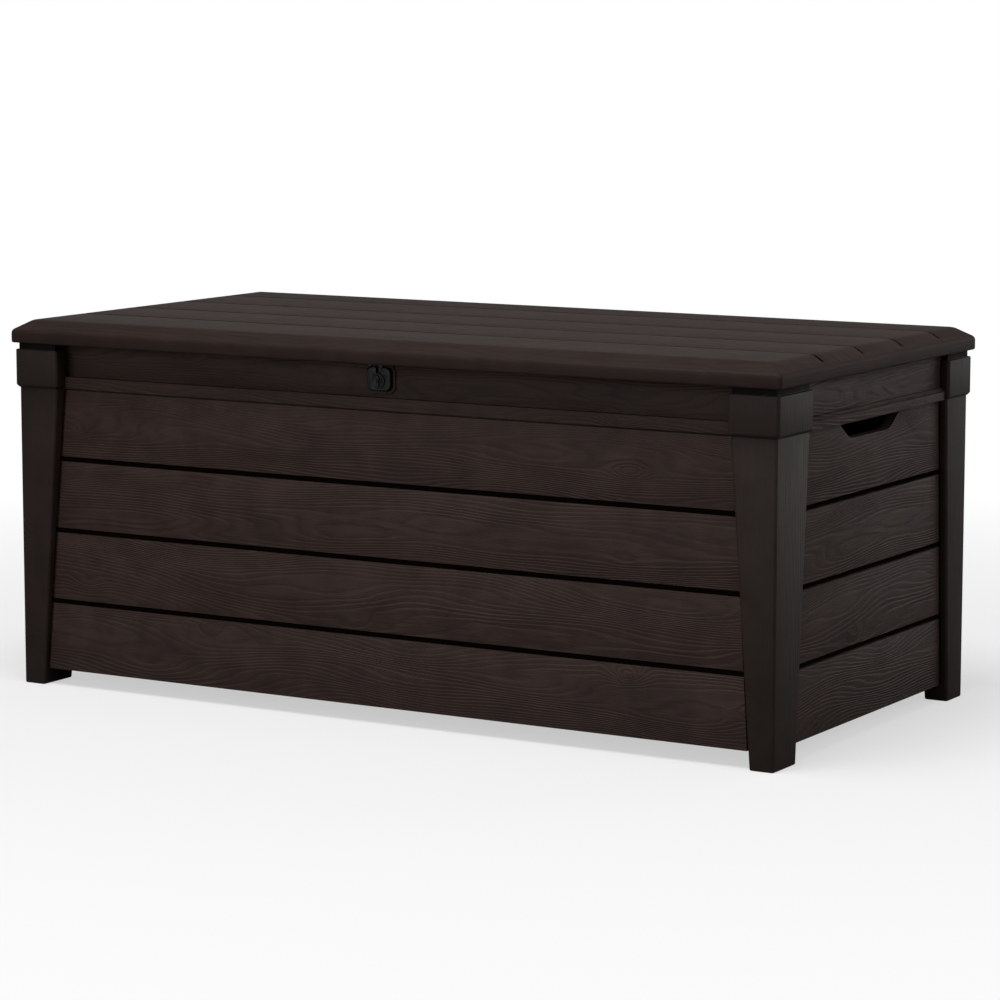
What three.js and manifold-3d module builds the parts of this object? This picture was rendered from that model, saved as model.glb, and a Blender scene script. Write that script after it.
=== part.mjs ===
// Deck storage box: a resin chest on four corner posts, with slatted walls, a slatted lid on a
// rear hinge with two gas struts, a hand-hold in each end and a twist lock in the front.
// Millimetres, +Z up, X along the length, the front faces -Y, origin on the ground at the centre.
import * as THREE from "three";
import { mergeVertices } from "three/addons/utils/BufferGeometryUtils.js";
import Module from "manifold-3d";

const wasm = await Module();
wasm.setup();

// ---- overall sizes ----
const LID_LENGTH = 1450;
const LID_DEPTH = 733;
const HEIGHT = 624;
const LID_OVERHANG = 10.5; // lid edge past the posts' faces, all round
const GAP = 0.3; // between pieces that touch
const RUNNING = 0.35; // pin or shaft to its bore

// ---- lid ----
const LID_THICKNESS = 38.6;
const FASCIA = 21.2; // upright edge below the bevel
const BEVEL_IN = 28;
const LID_ROUND = 7; // vertical corners
const LID_SKIN = 4;
const LID_FIRST_GROOVE = 167; // front edge to the first groove
const LID_GROOVE_PITCH = 145.5;
const LID_GROOVE_COUNT = 4;
const LID_GROOVE_WIDTH = 8;
const LID_GROOVE_DEPTH = 4;
const LID_GROOVE_STOP = 11; // the grooves run down the end bevels to here from the edge
const GROOVE_BACKING = 4; // skin behind a groove
const LINER_SKIN = 3.5;
const BAR_WIDTH = 25;
const BAR_HEIGHT = 15;
const BAR_WALL = 1.5;
const BAR_LENGTH = 1200;
const BAR_CRADLE = 2; // ribs on the liner either side of a bar

// ---- walls ----
const WALL = 3.5;
const WALL_BOTTOM = 28;
const SLAT_COUNT = 4;
const SLAT_GAP = 9;
const SLAT_GAP_DEPTH = 5;
const SLAT_EDGE = 2;
const RAIL_LINE = 3; // shadow line under the rail
const RAIL_HEIGHT = 19.5;
const RAIL_CHAMFER = 5;
const BAND_HEIGHT = 56.1; // rail to rim
const RIM_BEAD = 8; // thickened top edge, this deep and this high
const FLANGE = 30; // bottom lip that carries the floor
const LONG_RECESS_TOP = 21; // front and back slats behind the posts' faces, at the rail
const LONG_RECESS_BOTTOM = 8; // and at the bottom
const LONG_RAIL_RECESS = 20;
const LONG_BAND_RECESS = 33;
const SIDE_RECESS = 12;
const SIDE_RAIL_RECESS = 1.5;

// ---- corner posts and their caps ----
const POST_X_TOP = 79; // width along X at the top
const POST_X_FOOT = 42;
const FRONT_POST_Y_TOP = 115; // width along Y at the top
const FRONT_POST_Y_FOOT = 79;
const BACK_POST_Y_TOP = 84;
const BACK_POST_Y_FOOT = 60;
const POST_ROUND = 5;
const POST_LIP = 3; // inner wall of the slots
const CORNER_WEB = 18; // solid corner between the two slots
const CAP_PROUD = 5;
const CAP_X = 87;
const FRONT_CAP_Y = 121;
const BACK_CAP_Y = 92;
const CAP_HEIGHT = 64.6;
const CAP_CHAMFER = 4;
const PAD_HEIGHT = 10.8; // raised pad that the lid rests on
const PAD_SET_BACK = 3.5; // behind the post's face

// ---- hand-holds ----
const HOLD_TOP = 220; // length along Y at the top
const HOLD_BOTTOM = 148;
const HOLD_HEIGHT = 24.5;
const HOLD_DROP = 1; // below the shadow line
const HOLD_SLEEVE = 12; // how far its rim reaches inside

// ---- hinge ----
const HINGE_X = [-480, 0, 480];
const HINGE_BEHIND = 30.5; // pin axis behind the back wall's band
const HINGE_BELOW_LID = 11.4;
const KNUCKLE_ROUND = 8;
const LID_KNUCKLE = 24; // length along X
const WALL_KNUCKLE = 18;
const PIN_RADIUS = 3;
const PIN_LENGTH = 64;

// ---- gas struts: lower pivot on the end wall, upper pivot under the lid ----
const STRUT_INSET = 38.5; // strut axis inside the posts' end face
const STRUT_LOW_Y = 106.5;
const STRUT_LOW_BELOW_RIM = 231.1;
const STRUT_HIGH_FROM_HINGE = 87;
const STRUT_HIGH_BELOW_LID = 17.4;
const TUBE_RADIUS = 9;
const TUBE_WALL = 1.8;
const TUBE_START = 14; // from the lower pivot
const TUBE_LENGTH = 161;
const TUBE_GUIDE = 12; // length of the rod guide at the mouth
const ROD_RADIUS = 4;
const ROD_START = 24; // inner end of the rod, from the lower pivot, lid closed
const SOCKET_WIDTH = 8;
const SOCKET_ROUND = 8;
const STUD_RADIUS = 4;

// ---- lock ----
const LOCK_X = -8;
const LOCK_BELOW_RIM = 26.1; // centre of the case
const CASE_WIDTH = 45;
const CASE_HEIGHT = 38.5;
const CASE_DEPTH = 8.2; // in front of the band
const CASE_ROUND = 11;
const CASE_BODY_WIDTH = 37;
const CASE_BODY_HEIGHT = 30;
const CASE_BODY_DEPTH = 15; // behind the face of the band
const KNOB_BELOW_CASE = 3.5; // knob axis below the centre of the case
const KNOB_RADIUS = 11.5;
const KNOB_RECESS = 2.5;
const KNOB_PROUD = 1.2;
const SHAFT_RADIUS = 4;
const CAM_THICKNESS = 2;
const PEG_ORBIT = 12;
const PEG_RADIUS = 1.5;
const TONGUE_THICKNESS = 2;
const TONGUE_WIDTH = 8;
const TONGUE_HOOK_WIDTH = 10;

// ---- fasteners ----
const SCREW_HEAD_RADIUS = 3.5;
const SCREW_HEAD = 2.2;
const SCREW_RADIUS = 2;

// ---- worked out from the sizes above ----
const lidHalfX = LID_LENGTH / 2;
const lidHalfY = LID_DEPTH / 2;
const postX = lidHalfX - LID_OVERHANG; // end faces of the posts
const postY = lidHalfY - LID_OVERHANG;
const lidUnder = HEIGHT - LID_THICKNESS;
const rimTop = lidUnder - GAP;
const railTop = rimTop - BAND_HEIGHT;
const railBottom = railTop - RAIL_HEIGHT;
const slatsTop = railBottom - RAIL_LINE;
const slatHeight = (slatsTop - WALL_BOTTOM - (SLAT_COUNT - 1) * SLAT_GAP) / SLAT_COUNT;
const capTop = rimTop - PAD_HEIGHT;
const capBottom = capTop - CAP_HEIGHT;
const postTop = capBottom - GAP;
const longWallEnd = postX - SIDE_RECESS - CORNER_WEB;
const sideWallEnd = postY - LONG_BAND_RECESS - CORNER_WEB;
const bandFace = postY - LONG_BAND_RECESS; // outer face of the long walls' band, from the centre
const hingeY = bandFace + HINGE_BEHIND;
const hingeZ = lidUnder - HINGE_BELOW_LID;
const panelDepth = SLAT_GAP_DEPTH + WALL; // slat face to the back of a gap
const sideInner = postX - SIDE_RECESS - WALL; // inner face of the end walls' slats

// ---- solids ----
function solid(geometry) {
  const bare = geometry.clone();
  bare.deleteAttribute("normal");
  bare.deleteAttribute("uv");
  const merged = mergeVertices(bare, 1e-4);
  return new wasm.Manifold(
    new wasm.Mesh({
      numProp: 3,
      vertProperties: new Float32Array(merged.attributes.position.array),
      triVerts: new Uint32Array(merged.index.array),
    }),
  );
}

function geometryOf(manifold) {
  const mesh = manifold.getMesh();
  const geometry = new THREE.BufferGeometry();
  geometry.setAttribute("position", new THREE.BufferAttribute(mesh.vertProperties, 3));
  geometry.setIndex(new THREE.BufferAttribute(mesh.triVerts, 1));
  geometry.computeVertexNormals();
  return geometry;
}

// A copy of a geometry mirrored where a sign is -1, with its faces still pointing out.
function mirrored(geometry, signX, signY) {
  const copy = geometry.clone();
  copy.applyMatrix4(new THREE.Matrix4().makeScale(signX, signY, 1));
  if (signX * signY < 0) {
    const index = copy.index.array;
    for (let i = 0; i < index.length; i += 3) {
      const first = index[i];
      index[i] = index[i + 1];
      index[i + 1] = first;
    }
  }
  copy.computeVertexNormals();
  return copy;
}

function box(x0, x1, y0, y1, z0, z1) {
  const geometry = new THREE.BoxGeometry(x1 - x0, y1 - y0, z1 - z0);
  geometry.translate((x0 + x1) / 2, (y0 + y1) / 2, (z0 + z1) / 2);
  return solid(geometry);
}

function shapeOf(points) {
  return new THREE.Shape(points.map(([a, b]) => new THREE.Vector2(a, b)));
}

const X = new THREE.Vector3(1, 0, 0);
const Y = new THREE.Vector3(0, 1, 0);
const Z = new THREE.Vector3(0, 0, 1);

function extruded(shape, depth, across, up, along, segments = 6) {
  const geometry = new THREE.ExtrudeGeometry(shape, {
    depth,
    bevelEnabled: false,
    curveSegments: segments,
  });
  geometry.applyMatrix4(new THREE.Matrix4().makeBasis(across, up, along));
  return geometry;
}

// Shape drawn in (y, z), from x0 to x1.
function alongX(shape, x0, x1, segments) {
  const geometry = extruded(shape, x1 - x0, Y, Z, X, segments);
  geometry.translate(x0, 0, 0);
  return solid(geometry);
}

// Shape drawn in (x, z), from y0 to y1.
function alongY(shape, y0, y1, segments) {
  const geometry = extruded(shape, y1 - y0, X, Z, Y.clone().negate(), segments);
  geometry.translate(0, y1, 0);
  return solid(geometry);
}

function roundedRect(x0, x1, y0, y1, radius) {
  const shape = new THREE.Shape();
  shape.moveTo(x0 + radius, y0);
  shape.lineTo(x1 - radius, y0);
  shape.absarc(x1 - radius, y0 + radius, radius, -Math.PI / 2, 0);
  shape.lineTo(x1, y1 - radius);
  shape.absarc(x1 - radius, y1 - radius, radius, 0, Math.PI / 2);
  shape.lineTo(x0 + radius, y1);
  shape.absarc(x0 + radius, y1 - radius, radius, Math.PI / 2, Math.PI);
  shape.lineTo(x0, y0 + radius);
  shape.absarc(x0 + radius, y0 + radius, radius, Math.PI, 1.5 * Math.PI);
  return shape;
}

function circle(a, b, radius) {
  const shape = new THREE.Shape();
  shape.absarc(a, b, radius, 0, 2 * Math.PI);
  return shape;
}

// An outline carried up through levels, each { z, move(x, y) }.
function lofted(shape, levels, segments = 4) {
  const steps = levels.length - 1;
  const geometry = new THREE.ExtrudeGeometry(shape, {
    depth: steps,
    steps,
    bevelEnabled: false,
    curveSegments: segments,
  });
  const position = geometry.attributes.position;
  for (let i = 0; i < position.count; i++) {
    const level = levels[Math.round(position.getZ(i))];
    const [x, y] = level.move(position.getX(i), position.getY(i));
    position.setXYZ(i, x, y, level.z);
  }
  return solid(geometry);
}

const inward = (inset) => (x, y) => [x - Math.sign(x) * inset, y - Math.sign(y) * inset];

// ---- materials ----
function finish(hex, roughness, metalness = 0) {
  return new THREE.MeshStandardMaterial({ color: hex, roughness, metalness });
}
const brownResin = () => finish(0x3a302b, 0.62);
const lidResin = () => finish(0x463c38, 0.58);
const blackPlastic = () => finish(0x17181a, 0.42);
const zincSteel = () => finish(0xb9bcc0, 0.35, 1);
const blackSteel = () => finish(0x1c1d1f, 0.35, 0.4);
const chrome = () => finish(0xd5d8dc, 0.12, 1);

const model = new THREE.Group();

function piece(name, shape, material, parent = model) {
  const mesh = new THREE.Mesh(shape.isBufferGeometry ? shape : geometryOf(shape), material);
  mesh.name = name;
  parent.add(mesh);
  return mesh;
}

// ---- walls ----
const slatLow = (i) => WALL_BOTTOM + i * (slatHeight + SLAT_GAP);
const slatHigh = (i) => slatLow(i) + slatHeight;
const longRecess = (z) =>
  LONG_RECESS_BOTTOM +
  ((LONG_RECESS_TOP - LONG_RECESS_BOTTOM) * (z - WALL_BOTTOM)) / (slatsTop - WALL_BOTTOM);
const sideRecess = () => SIDE_RECESS;

// Section of a moulded wall as [depth behind the posts' face, z]: up the outside, down the inside.
function wallSection(recess, railRecess, bandRecess, hollowRail) {
  const points = [];
  for (let i = 0; i < SLAT_COUNT; i++) {
    const low = slatLow(i);
    const high = slatHigh(i);
    const aboveGap = i < SLAT_COUNT - 1 ? high + SLAT_GAP : railBottom;
    points.push([recess(low) + SLAT_EDGE, low], [recess(low), low + SLAT_EDGE]);
    points.push([recess(high), high - SLAT_EDGE], [recess(high) + SLAT_EDGE, high]);
    points.push([recess(high) + SLAT_GAP_DEPTH, high], [recess(high) + SLAT_GAP_DEPTH, aboveGap]);
  }
  points.push([railRecess + SLAT_EDGE, railBottom], [railRecess, railBottom + SLAT_EDGE]);
  points.push([railRecess, railTop - RAIL_CHAMFER], [railRecess + RAIL_CHAMFER, railTop]);
  points.push([bandRecess, railTop], [bandRecess, rimTop]);
  points.push([bandRecess + RIM_BEAD, rimTop], [bandRecess + RIM_BEAD, rimTop - RIM_BEAD]);
  points.push([bandRecess + WALL, rimTop - RIM_BEAD]);
  const backOfTopGap = recess(slatsTop) + panelDepth;
  if (hollowRail) {
    points.push([bandRecess + WALL, railTop - WALL], [railRecess + WALL, railTop - WALL]);
    points.push([railRecess + WALL, railBottom + WALL], [backOfTopGap, railBottom + WALL]);
  } else {
    points.push([bandRecess + WALL, railBottom + WALL], [backOfTopGap, railBottom + WALL]);
  }
  for (let i = SLAT_COUNT - 1; i >= 0; i--) {
    const low = slatLow(i);
    const high = slatHigh(i);
    points.push([recess(high) + panelDepth, high - WALL], [recess(high) + WALL, high - WALL]);
    points.push([recess(low) + WALL, low + WALL]);
    if (i > 0) points.push([recess(low) + panelDepth, low + WALL]);
  }
  const lip = recess(WALL_BOTTOM) + FLANGE;
  points.push([lip, WALL_BOTTOM + WALL], [lip, WALL_BOTTOM]);
  return points;
}

// The front wall without its lock. The back wall is its mirror image without its hinge knuckles.
function longWall() {
  const section = wallSection(longRecess, LONG_RAIL_RECESS, LONG_BAND_RECESS, true);
  return alongX(shapeOf(section.map(([d, z]) => [d - postY, z])), -longWallEnd, longWallEnd);
}

// The end wall at +X, its rail stopped at the caps.
function sideWall() {
  const section = wallSection(sideRecess, SIDE_RAIL_RECESS, SIDE_RECESS, false);
  const profile = shapeOf(section.map(([d, z]) => [postX - d, z]));
  let wall = alongY(profile, -sideWallEnd, sideWallEnd);
  for (const [side, capY] of [[-1, FRONT_CAP_Y], [1, BACK_CAP_Y]]) {
    const railEnd = postY + CAP_PROUD - capY - 1;
    const y = [side * railEnd, side * (sideWallEnd + 1)].sort((a, b) => a - b);
    wall = wall.subtract(
      box(postX - SIDE_RECESS, postX + 1, y[0], y[1], railBottom - 1, railTop + 1),
    );
  }
  return handHold(strutBoss(wall));
}

function handHoldShape(grow) {
  const top = slatsTop - HOLD_DROP;
  const bottom = top - HOLD_HEIGHT;
  return shapeOf([
    [-HOLD_BOTTOM / 2 - grow, bottom - grow],
    [HOLD_BOTTOM / 2 + grow, bottom - grow],
    [HOLD_TOP / 2 + grow, top + grow],
    [-HOLD_TOP / 2 - grow, top + grow],
  ]);
}

// A grip slot through the end wall, with a rim that runs inwards.
function handHold(wall) {
  const face = postX - SIDE_RECESS;
  const back = face - SLAT_GAP_DEPTH - HOLD_SLEEVE;
  const sleeve = alongX(handHoldShape(WALL), back, face - SLAT_EDGE);
  return wall.add(sleeve).subtract(alongX(handHoldShape(0), back - 1, face + 1));
}

// ---- floor ----
function floorPanel() {
  const plate = 4;
  const rim = 14; // turned down on to the walls' lips
  const rib = 3;
  const z0 = WALL_BOTTOM + WALL + GAP;
  const z1 = z0 + rim;
  const halfX = sideInner - 2;
  const halfY = postY - LONG_RECESS_BOTTOM - WALL - 4;
  const notchX = postX - POST_X_FOOT - 8;
  const notchY = postY - Math.max(FRONT_POST_Y_FOOT, BACK_POST_Y_FOOT) - 8;
  const outline = (inset) => [
    [-notchX + inset, -halfY + inset],
    [notchX - inset, -halfY + inset],
    [notchX - inset, -notchY + inset],
    [halfX - inset, -notchY + inset],
    [halfX - inset, notchY - inset],
    [notchX - inset, notchY - inset],
    [notchX - inset, halfY - inset],
    [-notchX + inset, halfY - inset],
    [-notchX + inset, notchY - inset],
    [-halfX + inset, notchY - inset],
    [-halfX + inset, -notchY + inset],
    [-notchX + inset, -notchY + inset],
  ];
  const slab = (inset, low, high) => {
    const geometry = extruded(shapeOf(outline(inset)), high - low, X, Y, Z);
    geometry.translate(0, 0, low);
    return solid(geometry);
  };
  let floor = slab(0, z0, z1).subtract(slab(rib, z0 - 1, z1 - plate));
  for (const step of [-2, -1, 0, 1, 2]) {
    const x = (step * halfX) / 2.8;
    floor = floor.add(box(x - rib / 2, x + rib / 2, 1 - halfY, halfY - 1, z0 + 2, z1 - 1));
  }
  for (const step of [-1, 1]) {
    const y = (step * notchY) / 2;
    floor = floor.add(box(1 - halfX, halfX - 1, y - rib / 2, y + rib / 2, z0 + 2, z1 - 1));
  }
  return floor;
}

// ---- corner posts and caps, drawn for the +X, -Y corner ----
function cornerPost(widthTop, widthFoot) {
  const x0 = postX - POST_X_TOP;
  const y1 = -postY + widthTop;
  const outline = roundedRect(x0, postX, -postY, y1, POST_ROUND);
  const midX = (x0 + postX) / 2;
  const midY = (y1 - postY) / 2;
  const narrowed = (x, y) => [
    x < midX ? x + POST_X_TOP - POST_X_FOOT : x,
    y > midY ? y - widthTop + widthFoot : y,
  ];
  const block = lofted(outline, [
    { z: 0, move: narrowed },
    { z: postTop, move: (x, y) => [x, y] },
  ]);
  const low = WALL_BOTTOM - GAP;
  const high = postTop + 1;
  const slant = (from, to) =>
    shapeOf([
      [longRecess(low) + from - postY, low],
      [longRecess(low) + to - postY, low],
      [longRecess(high) + to - postY, high],
      [longRecess(high) + from - postY, high],
    ]);
  const beyond = postY; // any reach past the post will do
  const slotEnd = longWallEnd + GAP;
  const sideOuter = postX - SIDE_RECESS + GAP;
  const sideBack = postX - SIDE_RECESS - panelDepth - GAP;
  const flangeTop = WALL_BOTTOM + WALL + GAP;
  return block
    .subtract(alongX(slant(-GAP, panelDepth + GAP), slotEnd - beyond, slotEnd))
    .subtract(box(sideBack, sideOuter, -sideWallEnd - GAP, 0, low, high))
    .subtract(alongX(slant(panelDepth + GAP + POST_LIP, beyond), 0, sideBack - POST_LIP))
    .subtract(box(0, slotEnd, -postY + LONG_RECESS_BOTTOM - GAP, 0, low, flangeTop))
    .subtract(box(0, sideOuter, -sideWallEnd - GAP, 0, low, flangeTop));
}

function cornerCap(width) {
  const x0 = postX + CAP_PROUD - CAP_X;
  const x1 = postX + CAP_PROUD;
  const y0 = -postY - CAP_PROUD;
  const y1 = y0 + width;
  const midX = (x0 + x1) / 2;
  const midY = (y0 + y1) / 2;
  const inset = (by) => (x, y) => [x - Math.sign(x - midX) * by, y - Math.sign(y - midY) * by];
  const block = lofted(roundedRect(x0, x1, y0, y1, POST_ROUND + 1), [
    { z: capBottom, move: inset(CAP_CHAMFER) },
    { z: capBottom + CAP_CHAMFER, move: inset(0) },
    { z: capTop - 1.5, move: inset(0) },
    { z: capTop, move: inset(1.5) },
  ]);
  const padX = postX - PAD_SET_BACK;
  const padY = postY - PAD_SET_BACK;
  const padShape = roundedRect(x0 + 6, padX, -padY, y1 - 6, POST_ROUND);
  const pad = lofted(padShape, [
    { z: capTop - 2, move: inset(0) },
    { z: rimTop, move: inset(0) },
  ]);
  const low = capBottom - 1;
  const high = rimTop + 1;
  const slotEnd = longWallEnd + GAP;
  const longOuter = -postY + LONG_RAIL_RECESS - GAP;
  const longBack = -bandFace + RIM_BEAD + GAP;
  const sideOuter = postX - SIDE_RECESS + GAP;
  const sideBack = postX - SIDE_RECESS - Math.max(RIM_BEAD, panelDepth) - GAP;
  return block
    .add(pad)
    .subtract(box(0, slotEnd, longOuter, longBack, low, high))
    .subtract(box(sideBack, sideOuter, -sideWallEnd - GAP, 0, low, high))
    .subtract(box(0, sideBack - POST_LIP, longBack + POST_LIP, 0, low, high));
}

// ---- hinge ----
const knuckleBore = (x0, x1) => alongX(circle(hingeY, hingeZ, PIN_RADIUS + RUNNING), x0, x1, 8);
const knuckle = (x0, x1) => alongX(circle(hingeY, hingeZ, KNUCKLE_ROUND), x0, x1, 8);

function addWallKnuckles(wall) {
  const arm = shapeOf([
    [bandFace - 1, hingeZ - 32],
    [hingeY, hingeZ - KNUCKLE_ROUND + 0.5],
    [hingeY, hingeZ + KNUCKLE_ROUND - 0.5],
    [bandFace - 1, hingeZ + KNUCKLE_ROUND - 2],
  ]);
  let result = wall;
  for (const centre of HINGE_X) {
    for (const side of [-1, 1]) {
      const near = centre + side * (LID_KNUCKLE / 2 + 2 * GAP);
      const ends = [near, near + side * WALL_KNUCKLE].sort((a, b) => a - b);
      const ear = alongX(arm, ...ends).add(knuckle(...ends));
      result = result.add(ear.subtract(knuckleBore(ends[0] - 1, ends[1] + 1)));
    }
  }
  return result;
}

function addLidKnuckles(liner) {
  let result = liner;
  for (const centre of HINGE_X) {
    const x0 = centre - LID_KNUCKLE / 2;
    const x1 = centre + LID_KNUCKLE / 2;
    const neck = box(x0, x1, hingeY - 6, hingeY + 6, hingeZ, lidUnder + 1);
    const ear = neck.add(knuckle(x0, x1)).subtract(knuckleBore(x0 - 1, x1 + 1));
    result = result.add(ear);
  }
  return result;
}

function hingePin(centre) {
  const half = PIN_LENGTH / 2;
  const head = 2;
  const shank = alongX(circle(hingeY, hingeZ, PIN_RADIUS), centre - half, centre + half, 8);
  return shank.add(
    alongX(circle(hingeY, hingeZ, PIN_RADIUS + 1.5), centre - half - head, centre - half, 8),
  );
}

// ---- lock ----
const lockZ = rimTop - LOCK_BELOW_RIM;
const knobZ = lockZ - KNOB_BELOW_CASE;
const caseBack = -bandFace - GAP; // back of the case's front flange
const caseFront = caseBack - CASE_DEPTH;
const recessFloor = caseFront + KNOB_RECESS;
const chamberFront = recessFloor + 2;
const tongueFront = chamberFront + 0.8;
const tongueBack = tongueFront + TONGUE_THICKNESS;
const camFront = tongueBack + 0.7;
const camBack = camFront + CAM_THICKNESS;
const bodyBack = -bandFace + CASE_BODY_DEPTH;
const tongueFoot = knobZ + SHAFT_RADIUS + 1.5;
const backplate = 3;

const around = (halfWidth, halfHeight, radius) =>
  roundedRect(
    LOCK_X - halfWidth,
    LOCK_X + halfWidth,
    lockZ - halfHeight,
    lockZ + halfHeight,
    radius,
  );

// The hole for the case in the front wall, and the raised rim moulded round it.
function addLockSeat(wall) {
  const rim = alongY(
    around(CASE_WIDTH / 2 + 6, CASE_HEIGHT / 2 + 3.5, CASE_ROUND + 3),
    -bandFace - 2,
    -bandFace + 1,
  ).subtract(
    alongY(
      around(CASE_WIDTH / 2 + GAP + 0.5, CASE_HEIGHT / 2 + GAP + 0.5, CASE_ROUND),
      -bandFace - 3,
      -bandFace,
    ),
  );
  const pass = TONGUE_HOOK_WIDTH / 2 + 1.5; // the tongue drops through the rim here
  const gate = box(LOCK_X - pass, LOCK_X + pass, -bandFace - 3, -bandFace, lockZ, rimTop);
  const hole = alongY(
    around(CASE_BODY_WIDTH / 2 + GAP, CASE_BODY_HEIGHT / 2 + GAP, 2),
    -bandFace - 3,
    -bandFace + WALL + 1,
  );
  return wall.add(rim.subtract(gate)).subtract(hole);
}

function lockCase() {
  const flange = alongY(
    around(CASE_WIDTH / 2, CASE_HEIGHT / 2, CASE_ROUND),
    caseFront,
    caseBack,
  );
  const body = alongY(
    around(CASE_BODY_WIDTH / 2, CASE_BODY_HEIGHT / 2, 2),
    caseBack - 1,
    bodyBack,
  );
  const reach = PEG_ORBIT + PEG_RADIUS + 2;
  const hook = TONGUE_HOOK_WIDTH / 2 + 1.5;
  const chamber = box(
    LOCK_X - hook,
    LOCK_X + reach,
    chamberFront,
    bodyBack + 1,
    knobZ - 8.5,
    knobZ + reach,
  );
  const top = lockZ + CASE_HEIGHT / 2 + 1;
  const throat = box(LOCK_X - hook, LOCK_X + hook, chamberFront, tongueBack + 1, knobZ, top);
  const notchHalf = TONGUE_WIDTH / 2 + 1;
  const notch = box(
    LOCK_X - notchHalf,
    LOCK_X + notchHalf,
    caseFront - 1,
    chamberFront + 1,
    knobZ + KNOB_RADIUS + 1.5,
    top,
  );
  const recess = alongY(
    circle(LOCK_X, knobZ, KNOB_RADIUS + 1),
    caseFront - 1,
    recessFloor,
    10,
  );
  const bore = alongY(
    circle(LOCK_X, knobZ, SHAFT_RADIUS + RUNNING),
    recessFloor - 1,
    chamberFront + 1,
    8,
  );
  let made = flange.add(body).subtract(chamber).subtract(throat).subtract(notch);
  made = made.subtract(recess).subtract(bore);
  for (const z of lockScrewZ) made = made.subtract(screwHoleY(lockScrewX, z, bodyBack - 9));
  return made;
}

const lockScrewX = LOCK_X - CASE_BODY_WIDTH / 2 + 6;
const lockScrewZ = [lockZ - 9, lockZ + 9];
const screwHoleY = (x, z, from) =>
  alongY(circle(x, z, SCREW_RADIUS + RUNNING), from, bodyBack + backplate + GAP + 1, 6);

function lockKnob() {
  const face = caseFront - KNOB_PROUD;
  const back = recessFloor - GAP;
  const disc = alongY(circle(LOCK_X, knobZ, KNOB_RADIUS), face, back, 10);
  const grip = box(LOCK_X - 2.5, LOCK_X + 2.5, face - 3, face + 1, knobZ - 9, knobZ + 9);
  const shaft = alongY(circle(LOCK_X, knobZ, SHAFT_RADIUS), back - 1, bodyBack + backplate, 8);
  const slot = box(LOCK_X - 0.8, LOCK_X + 0.8, face - 4, face - 0.5, knobZ - 3.5, knobZ + 3.5);
  return disc.add(grip).add(shaft).subtract(slot);
}

// The cam turns with the knob. Its peg drops into the tongue's open-sided slot.
function lockCam() {
  const hub = alongY(circle(LOCK_X, knobZ, SHAFT_RADIUS + 2), camFront, camBack, 8);
  const arm = box(LOCK_X, LOCK_X + PEG_ORBIT, camFront, camBack, knobZ - 2.5, knobZ + 2.5);
  const peg = alongY(circle(LOCK_X + PEG_ORBIT, knobZ, PEG_RADIUS), tongueFront, camBack, 6);
  const bore = alongY(
    circle(LOCK_X, knobZ, SHAFT_RADIUS + RUNNING),
    camFront - 1,
    camBack + 1,
    8,
  );
  return hub.add(arm).add(peg).subtract(bore);
}

function lockBackplate() {
  let plate = alongY(
    around(CASE_BODY_WIDTH / 2, CASE_BODY_HEIGHT / 2, 2),
    bodyBack + GAP,
    bodyBack + GAP + backplate,
  );
  plate = plate.subtract(
    alongY(circle(LOCK_X, knobZ, SHAFT_RADIUS + RUNNING), bodyBack, bodyBack + 5, 8),
  );
  for (const z of lockScrewZ) plate = plate.subtract(screwHoleY(lockScrewX, z, bodyBack));
  return plate;
}

function lockScrew(z) {
  const seat = bodyBack + backplate + 2 * GAP;
  const shank = alongY(circle(lockScrewX, z, SCREW_RADIUS), bodyBack - 8, seat + 1, 6);
  const head = alongY(circle(lockScrewX, z, SCREW_HEAD_RADIUS), seat, seat + SCREW_HEAD, 6);
  return shank.add(head);
}

// Steel tongue under the lid's front edge: it drops into the case through the notch.
const tongueScrewX = [LOCK_X - 11, LOCK_X + 11];
const tongueScrewY = tongueBack - 14;

function lockTongue() {
  const base = box(
    LOCK_X - 16,
    LOCK_X + 16,
    tongueBack - 22,
    tongueBack,
    rimTop - TONGUE_THICKNESS,
    rimTop,
  );
  const half = TONGUE_WIDTH / 2;
  const hook = TONGUE_HOOK_WIDTH / 2;
  const slotLow = knobZ + PEG_ORBIT - 3.4;
  const slotHigh = knobZ + PEG_ORBIT + PEG_RADIUS + 0.4;
  const blade = box(
    LOCK_X - half,
    LOCK_X + half,
    tongueFront,
    tongueBack,
    slotHigh,
    rimTop - 1,
  ).add(box(LOCK_X - hook, LOCK_X + hook, tongueFront, tongueBack, tongueFoot, slotHigh + 0.5));
  const slot = box(
    LOCK_X - PEG_RADIUS - 0.5,
    LOCK_X + hook + 1,
    tongueFront - 1,
    tongueBack + 1,
    slotLow,
    slotHigh,
  );
  let tongue = base.add(blade.subtract(slot));
  for (const x of tongueScrewX) {
    tongue = tongue.subtract(uprightHole(x, tongueScrewY, rimTop - 5, rimTop + 1));
  }
  return tongue;
}

// ---- upright screws, driven up into the lid's liner ----
const upright = (x, y, radius, z0, z1) => {
  const geometry = extruded(circle(x, y, radius), z1 - z0, X, Y, Z, 6);
  geometry.translate(0, 0, z0);
  return solid(geometry);
};
const uprightHole = (x, y, z0, z1) => upright(x, y, SCREW_RADIUS + RUNNING, z0, z1);
const screwReach = 8; // above the liner's underside
const uprightScrew = (x, y, seat) =>
  upright(x, y, SCREW_RADIUS, seat - 1, lidUnder + screwReach).add(
    upright(x, y, SCREW_HEAD_RADIUS, seat - SCREW_HEAD, seat),
  );

// ---- lid ----
const grooveY = Array.from(
  { length: LID_GROOVE_COUNT },
  (_, i) => -lidHalfY + LID_FIRST_GROOVE + i * LID_GROOVE_PITCH,
);
const bevelDrop = HEIGHT - lidUnder - FASCIA;

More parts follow.
